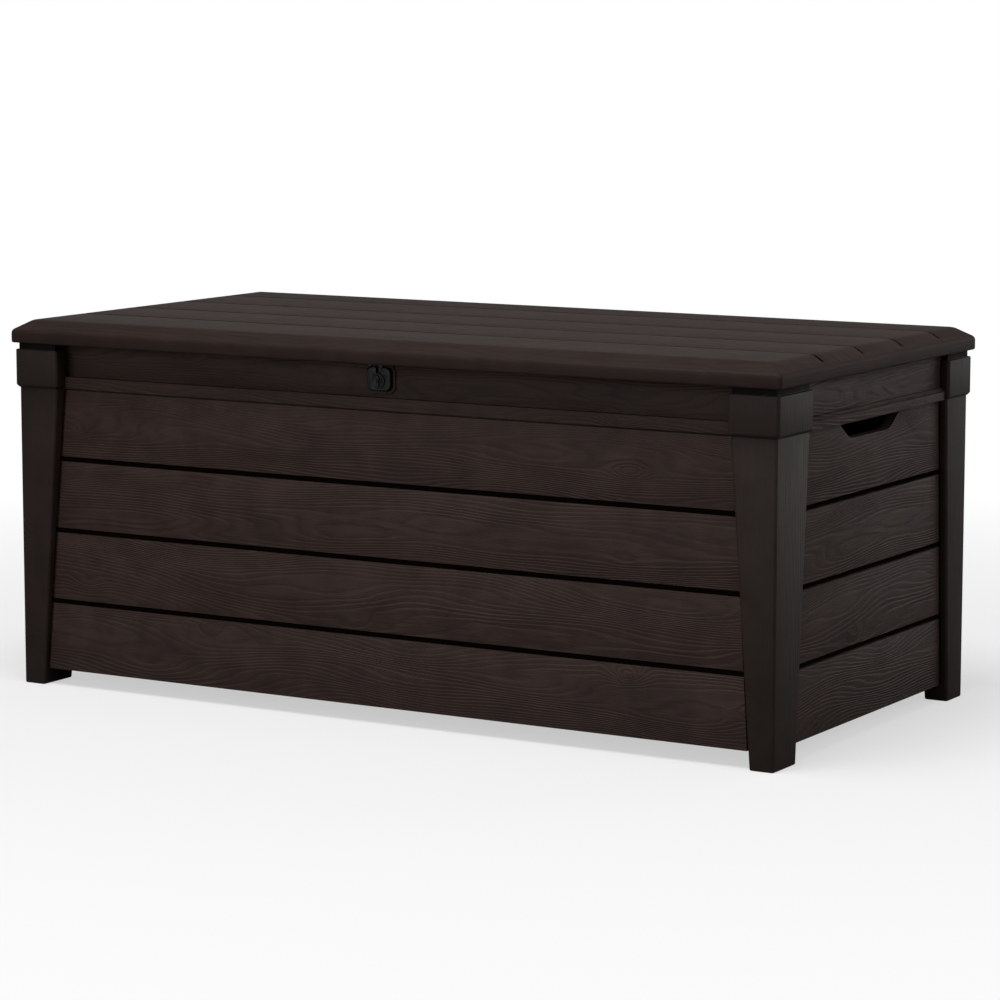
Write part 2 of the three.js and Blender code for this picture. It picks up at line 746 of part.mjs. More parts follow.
// Height of the lid's outer surface at x, on the bevels at its ends.
const endSurface = (x) =>
  HEIGHT - (Math.max(0, x - (lidHalfX - BEVEL_IN)) * bevelDrop) / BEVEL_IN;

// Outline of a cut or rib that follows the top and the end bevels, from low to high below it.
function followingTop(reach, below, above) {
  const knee = lidHalfX - BEVEL_IN;
  return shapeOf([
    [-reach, endSurface(reach) - below],
    [-knee, HEIGHT - below],
    [knee, HEIGHT - below],
    [reach, endSurface(reach) - below],
    [reach, endSurface(reach) + above],
    [knee, HEIGHT + above],
    [-knee, HEIGHT + above],
    [-reach, endSurface(reach) + above],
  ]);
}

function lidTop() {
  const outline = roundedRect(-lidHalfX, lidHalfX, -lidHalfY, lidHalfY, LID_ROUND);
  const outer = lofted(outline, [
    { z: lidUnder, move: inward(0) },
    { z: lidUnder + FASCIA, move: inward(0) },
    { z: HEIGHT, move: inward(BEVEL_IN) },
  ]);
  const cavity = lofted(outline, [
    { z: lidUnder - 1, move: inward(LID_SKIN) },
    { z: lidUnder + FASCIA - 1, move: inward(LID_SKIN) },
    { z: HEIGHT - LID_SKIN, move: inward(BEVEL_IN + 2) },
  ]);
  const grooveEnd = lidHalfX - LID_GROOVE_STOP;
  const backing = LID_GROOVE_DEPTH + GROOVE_BACKING;
  let hollow = cavity;
  let grooves = null;
  for (const y of grooveY) {
    const half = LID_GROOVE_WIDTH / 2;
    const rib = alongY(
      followingTop(lidHalfX, backing, 0),
      y - half - GROOVE_BACKING,
      y + half + GROOVE_BACKING,
    );
    hollow = hollow.subtract(rib);
    const groove = alongY(followingTop(grooveEnd, LID_GROOVE_DEPTH, 20), y - half, y + half);
    grooves = grooves ? grooves.add(groove) : groove;
  }
  return outer.subtract(hollow).subtract(grooves);
}

const barY = [
  (grooveY[0] + grooveY[1]) / 2,
  (grooveY[LID_GROOVE_COUNT - 2] + grooveY[LID_GROOVE_COUNT - 1]) / 2,
];
const barZ = lidUnder + LINER_SKIN + GAP;

function lidBar(y) {
  const half = BAR_WIDTH / 2;
  const end = BAR_LENGTH / 2;
  const tube = alongX(
    roundedRect(y - half, y + half, barZ, barZ + BAR_HEIGHT, 2),
    -end,
    end,
    3,
  );
  return tube.subtract(
    box(
      -end - 1,
      end + 1,
      y - half + BAR_WALL,
      y + half - BAR_WALL,
      barZ + BAR_WALL,
      barZ + BAR_HEIGHT - BAR_WALL,
    ),
  );
}

function lidLiner() {
  const outline = roundedRect(-lidHalfX, lidHalfX, -lidHalfY, lidHalfY, LID_ROUND);
  let liner = lofted(outline, [
    { z: lidUnder, move: inward(LID_SKIN + GAP) },
    { z: lidUnder + LINER_SKIN, move: inward(LID_SKIN + GAP) },
  ]);
  const boss = (x, y) =>
    box(x - 6, x + 6, y - 6, y + 6, lidUnder + 1, lidUnder + screwReach + 2);
  for (const y of barY) {
    for (const side of [-1, 1]) {
      const near = y + side * (BAR_WIDTH / 2 + 2 * GAP);
      const ys = [near, near + side * BAR_CRADLE].sort((a, b) => a - b);
      const end = BAR_LENGTH / 2;
      liner = liner.add(box(-end, end, ys[0], ys[1], lidUnder + 1, barZ + BAR_HEIGHT / 2));
    }
  }
  const screws = [
    ...tongueScrewX.map((x) => [x, tongueScrewY]),
    ...[-1, 1].flatMap((side) => lidBracketScrewY.map((y) => [side * lidBracketScrewX, y])),
  ];
  for (const [x, y] of screws) {
    liner = liner
      .add(boss(x, y))
      .subtract(uprightHole(x, y, lidUnder - 1, lidUnder + screwReach + GAP));
  }
  return addLidKnuckles(liner);
}

// ---- gas struts, drawn for the +X end ----
const strutX = postX - STRUT_INSET;
const strutLowY = STRUT_LOW_Y;
const strutLowZ = rimTop - STRUT_LOW_BELOW_RIM;
const strutHighY = hingeY - STRUT_HIGH_FROM_HINGE;
const strutHighZ = lidUnder - STRUT_HIGH_BELOW_LID;
const strutLength = Math.hypot(strutHighY - strutLowY, strutHighZ - strutLowZ);
const strutLean = Math.atan2(strutHighY - strutLowY, strutHighZ - strutLowZ);
const socketFace = strutX + SOCKET_WIDTH / 2;

const bossHalfY = 20;
const bossHalfZ = 25;
const bossFace = postX - SIDE_RECESS - panelDepth;
const bracketPlate = 3;
const wallBracketFace = bossFace - GAP - bracketPlate;
const wallScrewZ = [strutLowZ - 16, strutLowZ + 16];
const lidPlateX = socketFace + 0.4 + 4; // the stud under the lid stops just short of the socket
const lidBracketScrewX = strutX - 10; // clear of the socket's path
const lidBracketScrewY = [strutHighY - 13, strutHighY + 13];

function strutBoss(wall) {
  let made = wall.add(
    box(
      bossFace,
      sideInner + 1,
      strutLowY - bossHalfY,
      strutLowY + bossHalfY,
      strutLowZ - bossHalfZ,
      strutLowZ + bossHalfZ,
    ),
  );
  for (const z of wallScrewZ) {
    made = made.subtract(
      alongX(circle(strutLowY, z, SCREW_RADIUS + RUNNING), bossFace - 1, bossFace + 6.5, 6),
    );
  }
  return made;
}

function wallBracket() {
  let plate = box(
    wallBracketFace,
    wallBracketFace + bracketPlate,
    strutLowY - bossHalfY + 2,
    strutLowY + bossHalfY - 2,
    strutLowZ - bossHalfZ + 2,
    strutLowZ + bossHalfZ - 2,
  );
  for (const z of wallScrewZ) {
    plate = plate.subtract(
      alongX(
        circle(strutLowY, z, SCREW_RADIUS + RUNNING),
        wallBracketFace - 1,
        wallBracketFace + bracketPlate + 1,
        6,
      ),
    );
  }
  const stud = alongX(
    circle(strutLowY, strutLowZ, STUD_RADIUS),
    strutX - SOCKET_WIDTH / 2 - 1,
    wallBracketFace + 1,
    8,
  );
  const collar = alongX(
    circle(strutLowY, strutLowZ, STUD_RADIUS + 2),
    socketFace + GAP,
    wallBracketFace + 1,
    8,
  );
  return plate.add(stud).add(collar);
}

function wallBracketScrew(z) {
  const seat = wallBracketFace - GAP;
  const shank = alongX(circle(strutLowY, z, SCREW_RADIUS), seat - 1, bossFace + 6, 6);
  return shank.add(alongX(circle(strutLowY, z, SCREW_HEAD_RADIUS), seat - SCREW_HEAD, seat, 6));
}

function lidBracket() {
  const plate = 3;
  const base = box(
    lidBracketScrewX - 6,
    lidPlateX + plate,
    strutHighY - 19,
    strutHighY + 19,
    rimTop - plate,
    rimTop,
  );
  const web = box(
    lidPlateX,
    lidPlateX + plate,
    strutHighY - 10,
    strutHighY + 10,
    strutHighZ - 8,
    rimTop - 1,
  );
  const stud = alongX(
    circle(strutHighY, strutHighZ, STUD_RADIUS),
    socketFace + 0.4,
    lidPlateX + 1,
    8,
  );
  let made = base.add(web).add(stud);
  for (const y of lidBracketScrewY) {
    made = made.subtract(uprightHole(lidBracketScrewX, y, rimTop - 5, rimTop + 1));
  }
  return made;
}

// Strut pieces lie along +Z from the lower pivot, in a group turned to the closed lid's lean.
function axial(radius, z0, z1, segments = 8) {
  const geometry = extruded(circle(0, 0, radius), z1 - z0, X, Y, Z, segments);
  geometry.translate(0, 0, z0);
  return solid(geometry);
}

function socket(at, direction, bored) {
  const half = SOCKET_WIDTH / 2;
  const near = at + direction * (TUBE_START - 0.5 * GAP);
  const ends = [at, near].sort((a, b) => a - b);
  let made = alongX(circle(0, at, SOCKET_ROUND), -half, half, 8).add(
    box(-half, half, -half - 1, half + 1, ends[0], ends[1]),
  );
  if (bored) {
    made = made.subtract(
      alongX(circle(0, at, STUD_RADIUS + RUNNING), -half - 1, half + 1, 8),
    );
  }
  return made;
}

function strutTube() {
  const end = TUBE_START + TUBE_LENGTH;
  const bore = TUBE_RADIUS - TUBE_WALL;
  return axial(TUBE_RADIUS, TUBE_START + 0.5 * GAP, end, 10)
    .subtract(axial(bore, TUBE_START + 4, end - TUBE_GUIDE, 8))
    .subtract(axial(ROD_RADIUS + RUNNING, end - TUBE_GUIDE - 1, end + 1, 8));
}

const strutRod = () => axial(ROD_RADIUS, ROD_START, strutLength - TUBE_START - 0.5 * GAP, 8);

// ---- assembly ----
piece("floor_panel", floorPanel(), brownResin());
piece("front_wall", addLockSeat(longWall()), brownResin());
piece("back_wall", addWallKnuckles(solid(mirrored(geometryOf(longWall()), 1, -1))), brownResin());
const rightWall = piece("right_wall", sideWall(), brownResin());
piece("left_wall", mirrored(rightWall.geometry, -1, 1), brownResin());

const corners = [
  ["front", 1, FRONT_POST_Y_TOP, FRONT_POST_Y_FOOT, FRONT_CAP_Y],
  ["back", -1, BACK_POST_Y_TOP, BACK_POST_Y_FOOT, BACK_CAP_Y],
];
for (const [end, signY, widthTop, widthFoot, capWidth] of corners) {
  const post = geometryOf(cornerPost(widthTop, widthFoot));
  const cap = geometryOf(cornerCap(capWidth));
  for (const [hand, signX] of [["left", -1], ["right", 1]]) {
    piece(`corner_post_${end}_${hand}`, mirrored(post, signX, signY), brownResin());
    piece(`corner_cap_${end}_${hand}`, mirrored(cap, signX, signY), brownResin());
  }
}

["left", "centre", "right"].forEach((place, i) => {
  piece(`hinge_pin_${place}`, hingePin(HINGE_X[i]), zincSteel());
});

piece("lock_case", lockCase(), blackPlastic());
piece("lock_backplate", lockBackplate(), blackPlastic());
piece("lock_screw_lower", lockScrew(lockScrewZ[0]), zincSteel());
piece("lock_screw_upper", lockScrew(lockScrewZ[1]), zincSteel());
piece("lock_knob", lockKnob(), blackPlastic());
piece("lock_cam", lockCam(), zincSteel());

piece("lid_top", lidTop(), lidResin());
piece("lid_liner", lidLiner(), lidResin());
piece("lid_bar_front", lidBar(barY[0]), zincSteel());
piece("lid_bar_back", lidBar(barY[1]), zincSteel());
piece("lock_tongue", lockTongue(), zincSteel());
["left", "right"].forEach((place, i) => {
  const seat = rimTop - TONGUE_THICKNESS - GAP;
  piece(`tongue_screw_${place}`, uprightScrew(tongueScrewX[i], tongueScrewY, seat), zincSteel());
});

for (const [place, side] of [["left", -1], ["right", 1]]) {
  const sided = (made) => mirrored(geometryOf(made), side, 1);
  piece(`strut_wall_bracket_${place}`, sided(wallBracket()), zincSteel());
  piece(`strut_lid_bracket_${place}`, sided(lidBracket()), zincSteel());
  ["lower", "upper"].forEach((level, i) => {
    const screw = wallBracketScrew(wallScrewZ[i]);
    piece(`strut_wall_screw_${place}_${level}`, sided(screw), zincSteel());
  });
  ["front", "back"].forEach((level, i) => {
    const screw = uprightScrew(lidBracketScrewX, lidBracketScrewY[i], rimTop - 3 - GAP);
    piece(`strut_lid_screw_${place}_${level}`, sided(screw), zincSteel());
  });
  const strut = new THREE.Group();
  strut.position.set(side * strutX, strutLowY, strutLowZ);
  strut.rotation.x = -strutLean;
  model.add(strut);
  piece(`strut_lower_socket_${place}`, socket(0, 1, true), blackPlastic(), strut);
  piece(`strut_tube_${place}`, strutTube(), blackSteel(), strut);
  piece(`strut_rod_${place}`, strutRod(), chrome(), strut);
  piece(`strut_upper_socket_${place}`, socket(strutLength, -1, false), blackPlastic(), strut);
}

export default model;
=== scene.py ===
"""Deck storage box: the surface model of a resin chest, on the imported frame."""

import math

import bmesh
import bpy
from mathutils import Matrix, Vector


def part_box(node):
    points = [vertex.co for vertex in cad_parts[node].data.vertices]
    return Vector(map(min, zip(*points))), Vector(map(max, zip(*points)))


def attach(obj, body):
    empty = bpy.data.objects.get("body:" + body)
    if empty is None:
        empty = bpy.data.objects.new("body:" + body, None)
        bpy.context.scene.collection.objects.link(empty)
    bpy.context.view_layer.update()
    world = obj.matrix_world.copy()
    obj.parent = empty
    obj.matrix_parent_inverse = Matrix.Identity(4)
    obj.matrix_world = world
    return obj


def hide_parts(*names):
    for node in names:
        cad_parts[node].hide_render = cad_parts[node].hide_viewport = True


bl_info = {
    "name": "Deck Storage Box",
    "version": (1, 0, 0),
    "blender": (4, 5, 0),
    "location": "3D View > Sidebar > Deck Box",
    "description": "Builds the surface model of a resin deck storage box on its frame",
    "category": "Object",
}

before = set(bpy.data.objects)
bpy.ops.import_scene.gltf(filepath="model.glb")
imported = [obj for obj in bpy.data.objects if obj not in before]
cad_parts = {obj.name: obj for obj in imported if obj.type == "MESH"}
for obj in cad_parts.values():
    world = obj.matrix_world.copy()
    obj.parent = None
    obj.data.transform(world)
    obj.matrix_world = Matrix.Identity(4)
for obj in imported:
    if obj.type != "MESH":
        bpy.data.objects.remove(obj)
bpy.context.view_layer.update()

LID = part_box("lid_top")
FRONT_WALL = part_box("front_wall")
END_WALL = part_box("right_wall")
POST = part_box("corner_post_front_right")
BACK_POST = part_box("corner_post_back_right")
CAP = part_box("corner_cap_front_right")
BACK_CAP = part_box("corner_cap_back_right")
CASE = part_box("lock_case")
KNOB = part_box("lock_knob")

WOODLIKE = "brown_resin"
SLATS = 4
RIM_BEAD = 0.008
GROOVE_STOP = 0.011
CLEARANCE = 0.0003  # between pieces that touch
CLOSE = 0.0003  # how near a level an edge or face is to be picked
NEAR = 0.0005
QUARTER_TURN = math.pi / 2
HINGE_PINS = ("left", "centre", "right")


# ---- sizes and colours a user would change ----
def length(name, description, default):
    return bpy.props.FloatProperty(
        name=name, description=description, default=default, min=0.0, subtype="DISTANCE", unit="LENGTH"
    )


def colour(name, description, default):
    return bpy.props.FloatVectorProperty(
        name=name, description=description, default=default, size=3, min=0.0, max=1.0, subtype="COLOR"
    )


class ChestSizes(bpy.types.PropertyGroup):
    skin: length("Skin", "Thickness of the moulded walls", 0.0035)
    edge: length("Edge", "Rounding of the moulded edges", 0.0016)
    slat_gap: length("Slat gap", "Height of the shadow gap between two slats", 0.009)
    slat_gap_depth: length("Slat gap depth", "Depth of the gap between two slats", 0.005)
    slat_end_gap: length("Slat end gap", "Shadow gap between the slats' ends and a post", 0.005)
    rail_height: length("Rail height", "Height of the rail above the slats", 0.0195)
    rail_line: length("Rail line", "Height of the shadow line under the rail", 0.003)
    band_height: length("Band height", "Height of the band between rail and rim", 0.0561)
    lip: length("Lip", "Bottom lip that carries the floor", 0.030)
    lean_top: length("Slat recess at the top", "Front slats behind the posts, at the rail", 0.021)
    lean_bottom: length("Slat recess at the bottom", "Front slats behind the posts, at the bottom", 0.008)
    long_rail: length("Front rail recess", "Front rail behind the posts", 0.020)
    long_band: length("Front band recess", "Front band behind the posts", 0.033)
    end_recess: length("End recess", "End slats and band behind the posts", 0.012)
    end_rail: length("End rail recess", "End rail behind the posts", 0.0015)
    overhang: length("Lid overhang", "Lid edge past the posts", 0.0105)
    fascia: length("Lid edge height", "Upright edge of the lid", 0.0212)
    bevel_run: length("Lid bevel", "Width of the slope round the lid", 0.028)
    lid_crown: length("Lid crown", "Rounding where the slope meets the top", 0.0062)
    lid_shoulder: length("Lid shoulder", "Rounding where the slope meets the edge", 0.005)
    lid_corner: length("Lid corner", "Rounding of the lid's corners in plan", 0.007)
    post_corner: length("Post corner", "Rounding of the posts' upright edges", 0.005)
    lid_groove_width: length("Lid groove width", "Width of the grooves in the lid", 0.008)
    lid_groove_depth: length("Lid groove depth", "Depth of the grooves in the lid", 0.004)
    lid_first_groove: length("First groove", "Front edge of the lid to its first groove", 0.167)
    lid_groove_pitch: length("Groove pitch", "From one lid groove to the next", 0.1455)
    foot_x: length("Foot width", "Width of a post's front at the ground", 0.042)
    front_foot_y: length("Front foot depth", "Width of a front post's side at the ground", 0.079)
    back_foot_y: length("Back foot depth", "Width of a back post's side at the ground", 0.060)
    pad_height: length("Pad height", "Pad on a cap that the lid rests on", 0.0108)
    cap_chamfer: length("Cap chamfer", "Slope under a cap, down to its post", 0.0048)


class ChestColours(bpy.types.PropertyGroup):
    walls: colour("Walls", "Brown resin of the walls", (0.0362, 0.0214, 0.0180))
    posts: colour("Posts", "Brown resin of the posts and caps", (0.0190, 0.0115, 0.0097))
    lid: colour("Lid", "Brown resin of the lid", (0.0262, 0.0158, 0.0134))
    inside: colour("Inside", "Unlit brown resin inside the chest", (0.026, 0.019, 0.017))
    black: colour("Black plastic", "Lock and strut ends", (0.0055, 0.0058, 0.0060))
    zinc: colour("Zinc", "Plated screws and brackets", (0.56, 0.57, 0.58))
    chrome: colour("Chrome", "Strut rods", (0.72, 0.73, 0.75))
    enamel: colour("Enamel", "Painted strut tubes", (0.014, 0.014, 0.015))
    floor: colour("Floor", "Studio floor", (0.86, 0.86, 0.86))


def sizes():
    return bpy.context.scene.chest_sizes


def colours():
    return bpy.context.scene.chest_colours


# ---- making pieces by hand ----
def deselect():
    for thing in bpy.context.selected_objects:
        thing.select_set(False)


def activate(piece):
    deselect()
    piece.select_set(True)
    bpy.context.view_layer.objects.active = piece


def named(name):
    piece = bpy.context.active_object
    piece.name = name
    piece.data.name = name
    return piece


def block(name, low, high):
    """A cube set to its size and place, left in edit mode."""
    deselect()
    low, high = Vector(low), Vector(high)
    bpy.ops.mesh.primitive_cube_add(size=1, location=(low + high) / 2)
    piece = named(name)
    piece.scale = high - low
    bpy.ops.object.transform_apply(location=True, rotation=True, scale=True)
    bpy.ops.object.mode_set(mode="EDIT")
    return piece


def disc(name, centre, radius, depth, sides=64):
    """A short cylinder along Y, left in edit mode."""
    deselect()
    bpy.ops.mesh.primitive_cylinder_add(
        vertices=sides, radius=radius, depth=depth, location=centre, rotation=(math.pi / 2, 0, 0)
    )
    piece = named(name)
    bpy.ops.object.transform_apply(location=True, rotation=True, scale=True)
    bpy.ops.object.mode_set(mode="EDIT")
    return piece


def pick(piece, kind, test):
    """Selects what passes a test on its middle and its normal or direction, and nothing else."""
    bpy.ops.mesh.select_mode(type=kind)
    bpy.ops.mesh.select_all(action="DESELECT")
    mesh = bmesh.from_edit_mesh(piece.data)
    if kind == "FACE":
        for face in mesh.faces:
            if test(face.calc_center_median(), face.normal):
                face.select_set(True)
    elif kind == "EDGE":
        for edge in mesh.edges:
            a, b = edge.verts[0].co, edge.verts[1].co
            if test((a + b) / 2, (b - a).normalized()):
                edge.select_set(True)
    else:
        for vert in mesh.verts:
            if test(vert.co, vert.normal):
                vert.select_set(True)
    bmesh.update_edit_mesh(piece.data)


def move(x=0.0, y=0.0, z=0.0):
    bpy.ops.transform.translate(value=(x, y, z))


def extrude(x=0.0, y=0.0, z=0.0):
    bpy.ops.mesh.extrude_region_move(TRANSFORM_OT_translate={"value": (x, y, z)})


def slice_through(point, normal):
    bpy.ops.mesh.bisect(plane_co=point, plane_no=normal)


def round_edges(offset, segments, profile=0.5):
    bpy.ops.mesh.bevel(offset=offset, segments=segments, affect="EDGES", profile=profile)


def leave():
    bpy.ops.object.mode_set(mode="OBJECT")


def modify(piece, kind, **settings):
    """Adds a modifier and applies it at once."""
    activate(piece)
    modifier = piece.modifiers.new(kind.title(), kind)
    for key, value in settings.items():
        setattr(modifier, key, value)
    bpy.ops.object.modifier_apply(modifier=modifier.name)


def cut(piece, cutter, operation="DIFFERENCE"):
    leave_if_editing()
    modify(piece, "BOOLEAN", object=cutter, operation=operation, solver="EXACT")
    discard(cutter)


def discard(piece):
    data = piece.data
    bpy.data.objects.remove(piece)
    bpy.data.meshes.remove(data)


def leave_if_editing():
    if bpy.context.mode != "OBJECT":
        leave()


def cut_block(piece, low, high):
    cutter = block("cutter", low, high)
    leave()
    cut(piece, cutter)


def soften(piece, width, segments=2, angle=40):
    modify(
        piece,
        "BEVEL",
        width=width,
        segments=segments,
        limit_method="ANGLE",
        angle_limit=math.radians(angle),
        use_clamp_overlap=True,
        miter_outer="MITER_ARC",
    )


def tidy_mesh(piece):
    """Merges doubles and turns the faces outwards."""
    activate(piece)
    bpy.ops.object.mode_set(mode="EDIT")
    bpy.ops.mesh.select_all(action="SELECT")
    bpy.ops.mesh.remove_doubles(threshold=0.00002)
    bpy.ops.mesh.normals_make_consistent(inside=False)
    leave()


def smooth(piece, angle=35):
    activate(piece)
    bpy.ops.object.shade_smooth_by_angle(angle=math.radians(angle))


def dress(piece, material, body, slot, *nodes):
    piece.data.validate()
    piece.data.materials.clear()
    piece.data.materials.append(material)
    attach(piece, body)
    if nodes:
        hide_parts(*nodes)


def turned_copy(piece, name, angle=0.0, flip=(1, 1, 1)):
    """A copy with its own mesh, mirrored and then turned about the upright axis."""
    activate(piece)
    bpy.ops.object.duplicate(linked=False)
    copy = named(name)
    copy.scale = flip
    copy.rotation_euler.z = angle
    bpy.ops.object.transform_apply(location=True, rotation=True, scale=True)
    if flip[0] * flip[1] * flip[2] < 0:
        tidy_mesh(copy)
    return copy


def turn(piece, angle):
    activate(piece)
    piece.rotation_euler.z = angle
    bpy.ops.object.transform_apply(location=True, rotation=True, scale=True)


# ---- shader parts ----
class Shader:
    """Short names for adding nodes to one node tree."""

    def __init__(self, tree):
        self.tree = tree

    def node(self, kind, **settings):
        made = self.tree.nodes.new(kind)
        for key, value in settings.items():
            setattr(made, key, value)
        return made

    def link(self, source, target):
        self.tree.links.new(source, target)

    def feed(self, socket, value):
        if hasattr(value, "is_output"):
            self.link(value, socket)
        else:
            socket.default_value = value

    def math(self, operation, a, b=0.0, c=0.0, clamp=False):
        made = self.node("ShaderNodeMath", operation=operation, use_clamp=clamp)
        for socket, value in zip(made.inputs, (a, b, c)):
            self.feed(socket, value)
        return made.outputs[0]

    def noise(self, where, scale, detail=2.0, roughness=0.5, distortion=0.0):
        made = self.node("ShaderNodeTexNoise")
        self.feed(made.inputs["Vector"], where)
        made.inputs["Scale"].default_value = scale
        made.inputs["Detail"].default_value = detail
        made.inputs["Roughness"].default_value = roughness
        made.inputs["Distortion"].default_value = distortion
        return made.outputs["Fac"]

    def between(self, value, low, high, to_low=0.0, to_high=1.0):
        made = self.node("ShaderNodeMapRange", clamp=True)
        self.feed(made.inputs["Value"], value)
        for key, number in (("From Min", low), ("From Max", high), ("To Min", to_low), ("To Max", to_high)):
            self.feed(made.inputs[key], number)
        return made.outputs["Result"]

    def combine(self, x, y, z):
        made = self.node("ShaderNodeCombineXYZ")
        for socket, value in zip(made.inputs, (x, y, z)):
            self.feed(socket, value)
        return made.outputs["Vector"]

    def bump(self, height, strength, distance):
        made = self.node("ShaderNodeBump")
        made.inputs["Strength"].default_value = strength
        made.inputs["Distance"].default_value = distance
        self.link(height, made.inputs["Height"])
        return made.outputs["Normal"]

    def mix(self, factor, a, b, blend="MIX"):
        made = self.node("ShaderNodeMix", data_type="RGBA", blend_type=blend)
        self.feed(made.inputs["Factor"], factor)
        self.feed(made.inputs["A"], a)
        self.feed(made.inputs["B"], b)
        return made.outputs["Result"]


def new_group(name, inputs, outputs):
    group = bpy.data.node_groups.new(name, "ShaderNodeTree")
    for label, kind, default in inputs:
        socket = group.interface.new_socket(label, in_out="INPUT", socket_type=kind)
        if default is not None:
            socket.default_value = default
    for label, kind in outputs:
        group.interface.new_socket(label, in_out="OUTPUT", socket_type=kind)
    tree = Shader(group)
    return tree, tree.node("NodeGroupInput"), tree.node("NodeGroupOutput")


FLOAT, VECTOR, COLOUR = "NodeSocketFloat", "NodeSocketVector", "NodeSocketColor"


def board_grain_group():
    """Embossed board grain: long wavy rings along the board with arches and eyes.

    Along and Across are distances on the board, Board is a number for each board.
    """
    tree, given, result = new_group(
        "Board grain",
        [
            ("Along", FLOAT, 0.0),
            ("Across", FLOAT, 0.0),
            ("Board", FLOAT, 0.0),
            ("Rings", FLOAT, 150.0),
            ("Figure", FLOAT, 10.0),
            ("Stretch", FLOAT, 0.16),
        ],
        [("Relief", FLOAT), ("Pores", FLOAT), ("Streaks", FLOAT)],
    )
    along = given.outputs["Along"]
    across = given.outputs["Across"]
    shift = tree.math("MULTIPLY", given.outputs["Board"], 3.717)
    spot = tree.combine(tree.math("MULTIPLY", along, given.outputs["Stretch"]), across, shift)
    figure = tree.noise(spot, 12.0, 1.0, 0.4)
    ripple = tree.noise(spot, 60.0, 2.0, 0.5)
    rings = tree.math("MULTIPLY", across, given.outputs["Rings"])
    swing = tree.math("MULTIPLY", given.outputs["Figure"], 2.6)
    rings = tree.math("ADD", rings, tree.math("MULTIPLY", figure, swing))
    rings = tree.math("ADD", rings, tree.math("MULTIPLY", ripple, 0.9))
    rings = tree.math("ADD", rings, tree.math("MULTIPLY", knots(tree, along, across, shift), 5.0))
    phase = tree.math("FRACT", rings)
    rise = tree.between(phase, 0.0, 0.62)
    fall = tree.between(phase, 0.70, 1.0, 1.0, 0.0)
    ridge = tree.math("MULTIPLY", rise, fall)
    strength = tree.between(tree.noise(spot, 16.0, 1.0, 0.5), 0.3, 0.68, 0.35, 1.0)
    relief = tree.math("MULTIPLY", ridge, strength)
    fine = tree.combine(tree.math("MULTIPLY", along, 0.022), across, shift)
    pores = tree.noise(fine, 900.0, 2.0, 0.6)
    streaks = tree.noise(spot, 34.0, 3.0, 0.6)
    tree.link(relief, result.inputs["Relief"])
    tree.link(pores, result.inputs["Pores"])
    tree.link(streaks, result.inputs["Streaks"])
    return tree.tree


def knots(tree, along, across, shift):
    """A hill for each knot, scattered along the board, that the rings go round."""
    where = tree.combine(tree.math("MULTIPLY", along, 4.2), tree.math("MULTIPLY", across, 9.0), shift)
    cells = tree.node("ShaderNodeTexVoronoi", voronoi_dimensions="3D", feature="F1")
    tree.link(where, cells.inputs["Vector"])
    cells.inputs["Scale"].default_value = 1.0
    hill = tree.between(cells.outputs["Distance"], 0.03, 0.26, 1.0, 0.0)
    hill = tree.math("MULTIPLY", hill, hill)
    chosen = tree.node("ShaderNodeSeparateColor")
    tree.link(cells.outputs["Color"], chosen.inputs["Color"])
    return tree.math("MULTIPLY", hill, tree.math("GREATER_THAN", chosen.outputs["Red"], 0.25))


def wear_group():
    """Masks for paler, worn edges and for a slow mottle over the whole piece."""
    tree, given, result = new_group(
        "Edge wear",
        [("Amount", FLOAT, 0.5)],
        [("Edges", FLOAT), ("Mottle", FLOAT)],
    )
    where = tree.node("ShaderNodeTexCoord").outputs["Object"]
    pointed = tree.node("ShaderNodeNewGeometry").outputs["Pointiness"]
    edge = tree.between(pointed, 0.50, 0.56)
    patch = tree.between(tree.noise(where, 18.0, 3.0, 0.6), 0.35, 0.65)
    edges = tree.math("MULTIPLY", tree.math("MULTIPLY", edge, patch), given.outputs["Amount"])
    tree.link(edges, result.inputs["Edges"])
    tree.link(tree.noise(where, 7.0, 4.0, 0.55), result.inputs["Mottle"])
    return tree.tree


def grain_skin_group():
    """The pebbled skin of plain moulded plastic."""
    tree, given, result = new_group(
        "Moulded skin", [("Scale", FLOAT, 1400.0)], [("Height", FLOAT), ("Patch", FLOAT)]
    )
    where = tree.node("ShaderNodeTexCoord").outputs["Object"]
    pebble = tree.node("ShaderNodeTexNoise")
    tree.link(where, pebble.inputs["Vector"])
    tree.link(given.outputs["Scale"], pebble.inputs["Scale"])
    pebble.inputs["Detail"].default_value = 2.0
    tree.link(pebble.outputs["Fac"], result.inputs["Height"])
    tree.link(tree.noise(where, 24.0, 3.0, 0.6), result.inputs["Patch"])
    return tree.tree


def group_named(name, maker):
    return bpy.data.node_groups.get(name) or maker()


def place_group(tree, group, **values):
    made = tree.node("ShaderNodeGroup", node_tree=group)
    for key, value in values.items():
        tree.feed(made.inputs[key], value)
    return made.outputs


def fresh_material(name):
    material = bpy.data.materials.new(name)
    material.use_nodes = True
    tree = Shader(material.node_tree)
    return material, tree, material.node_tree.nodes["Principled BSDF"]


def rgba(colour_value, factor=1.0):
    return tuple(min(1.0, channel * factor) for channel in colour_value) + (1.0,)


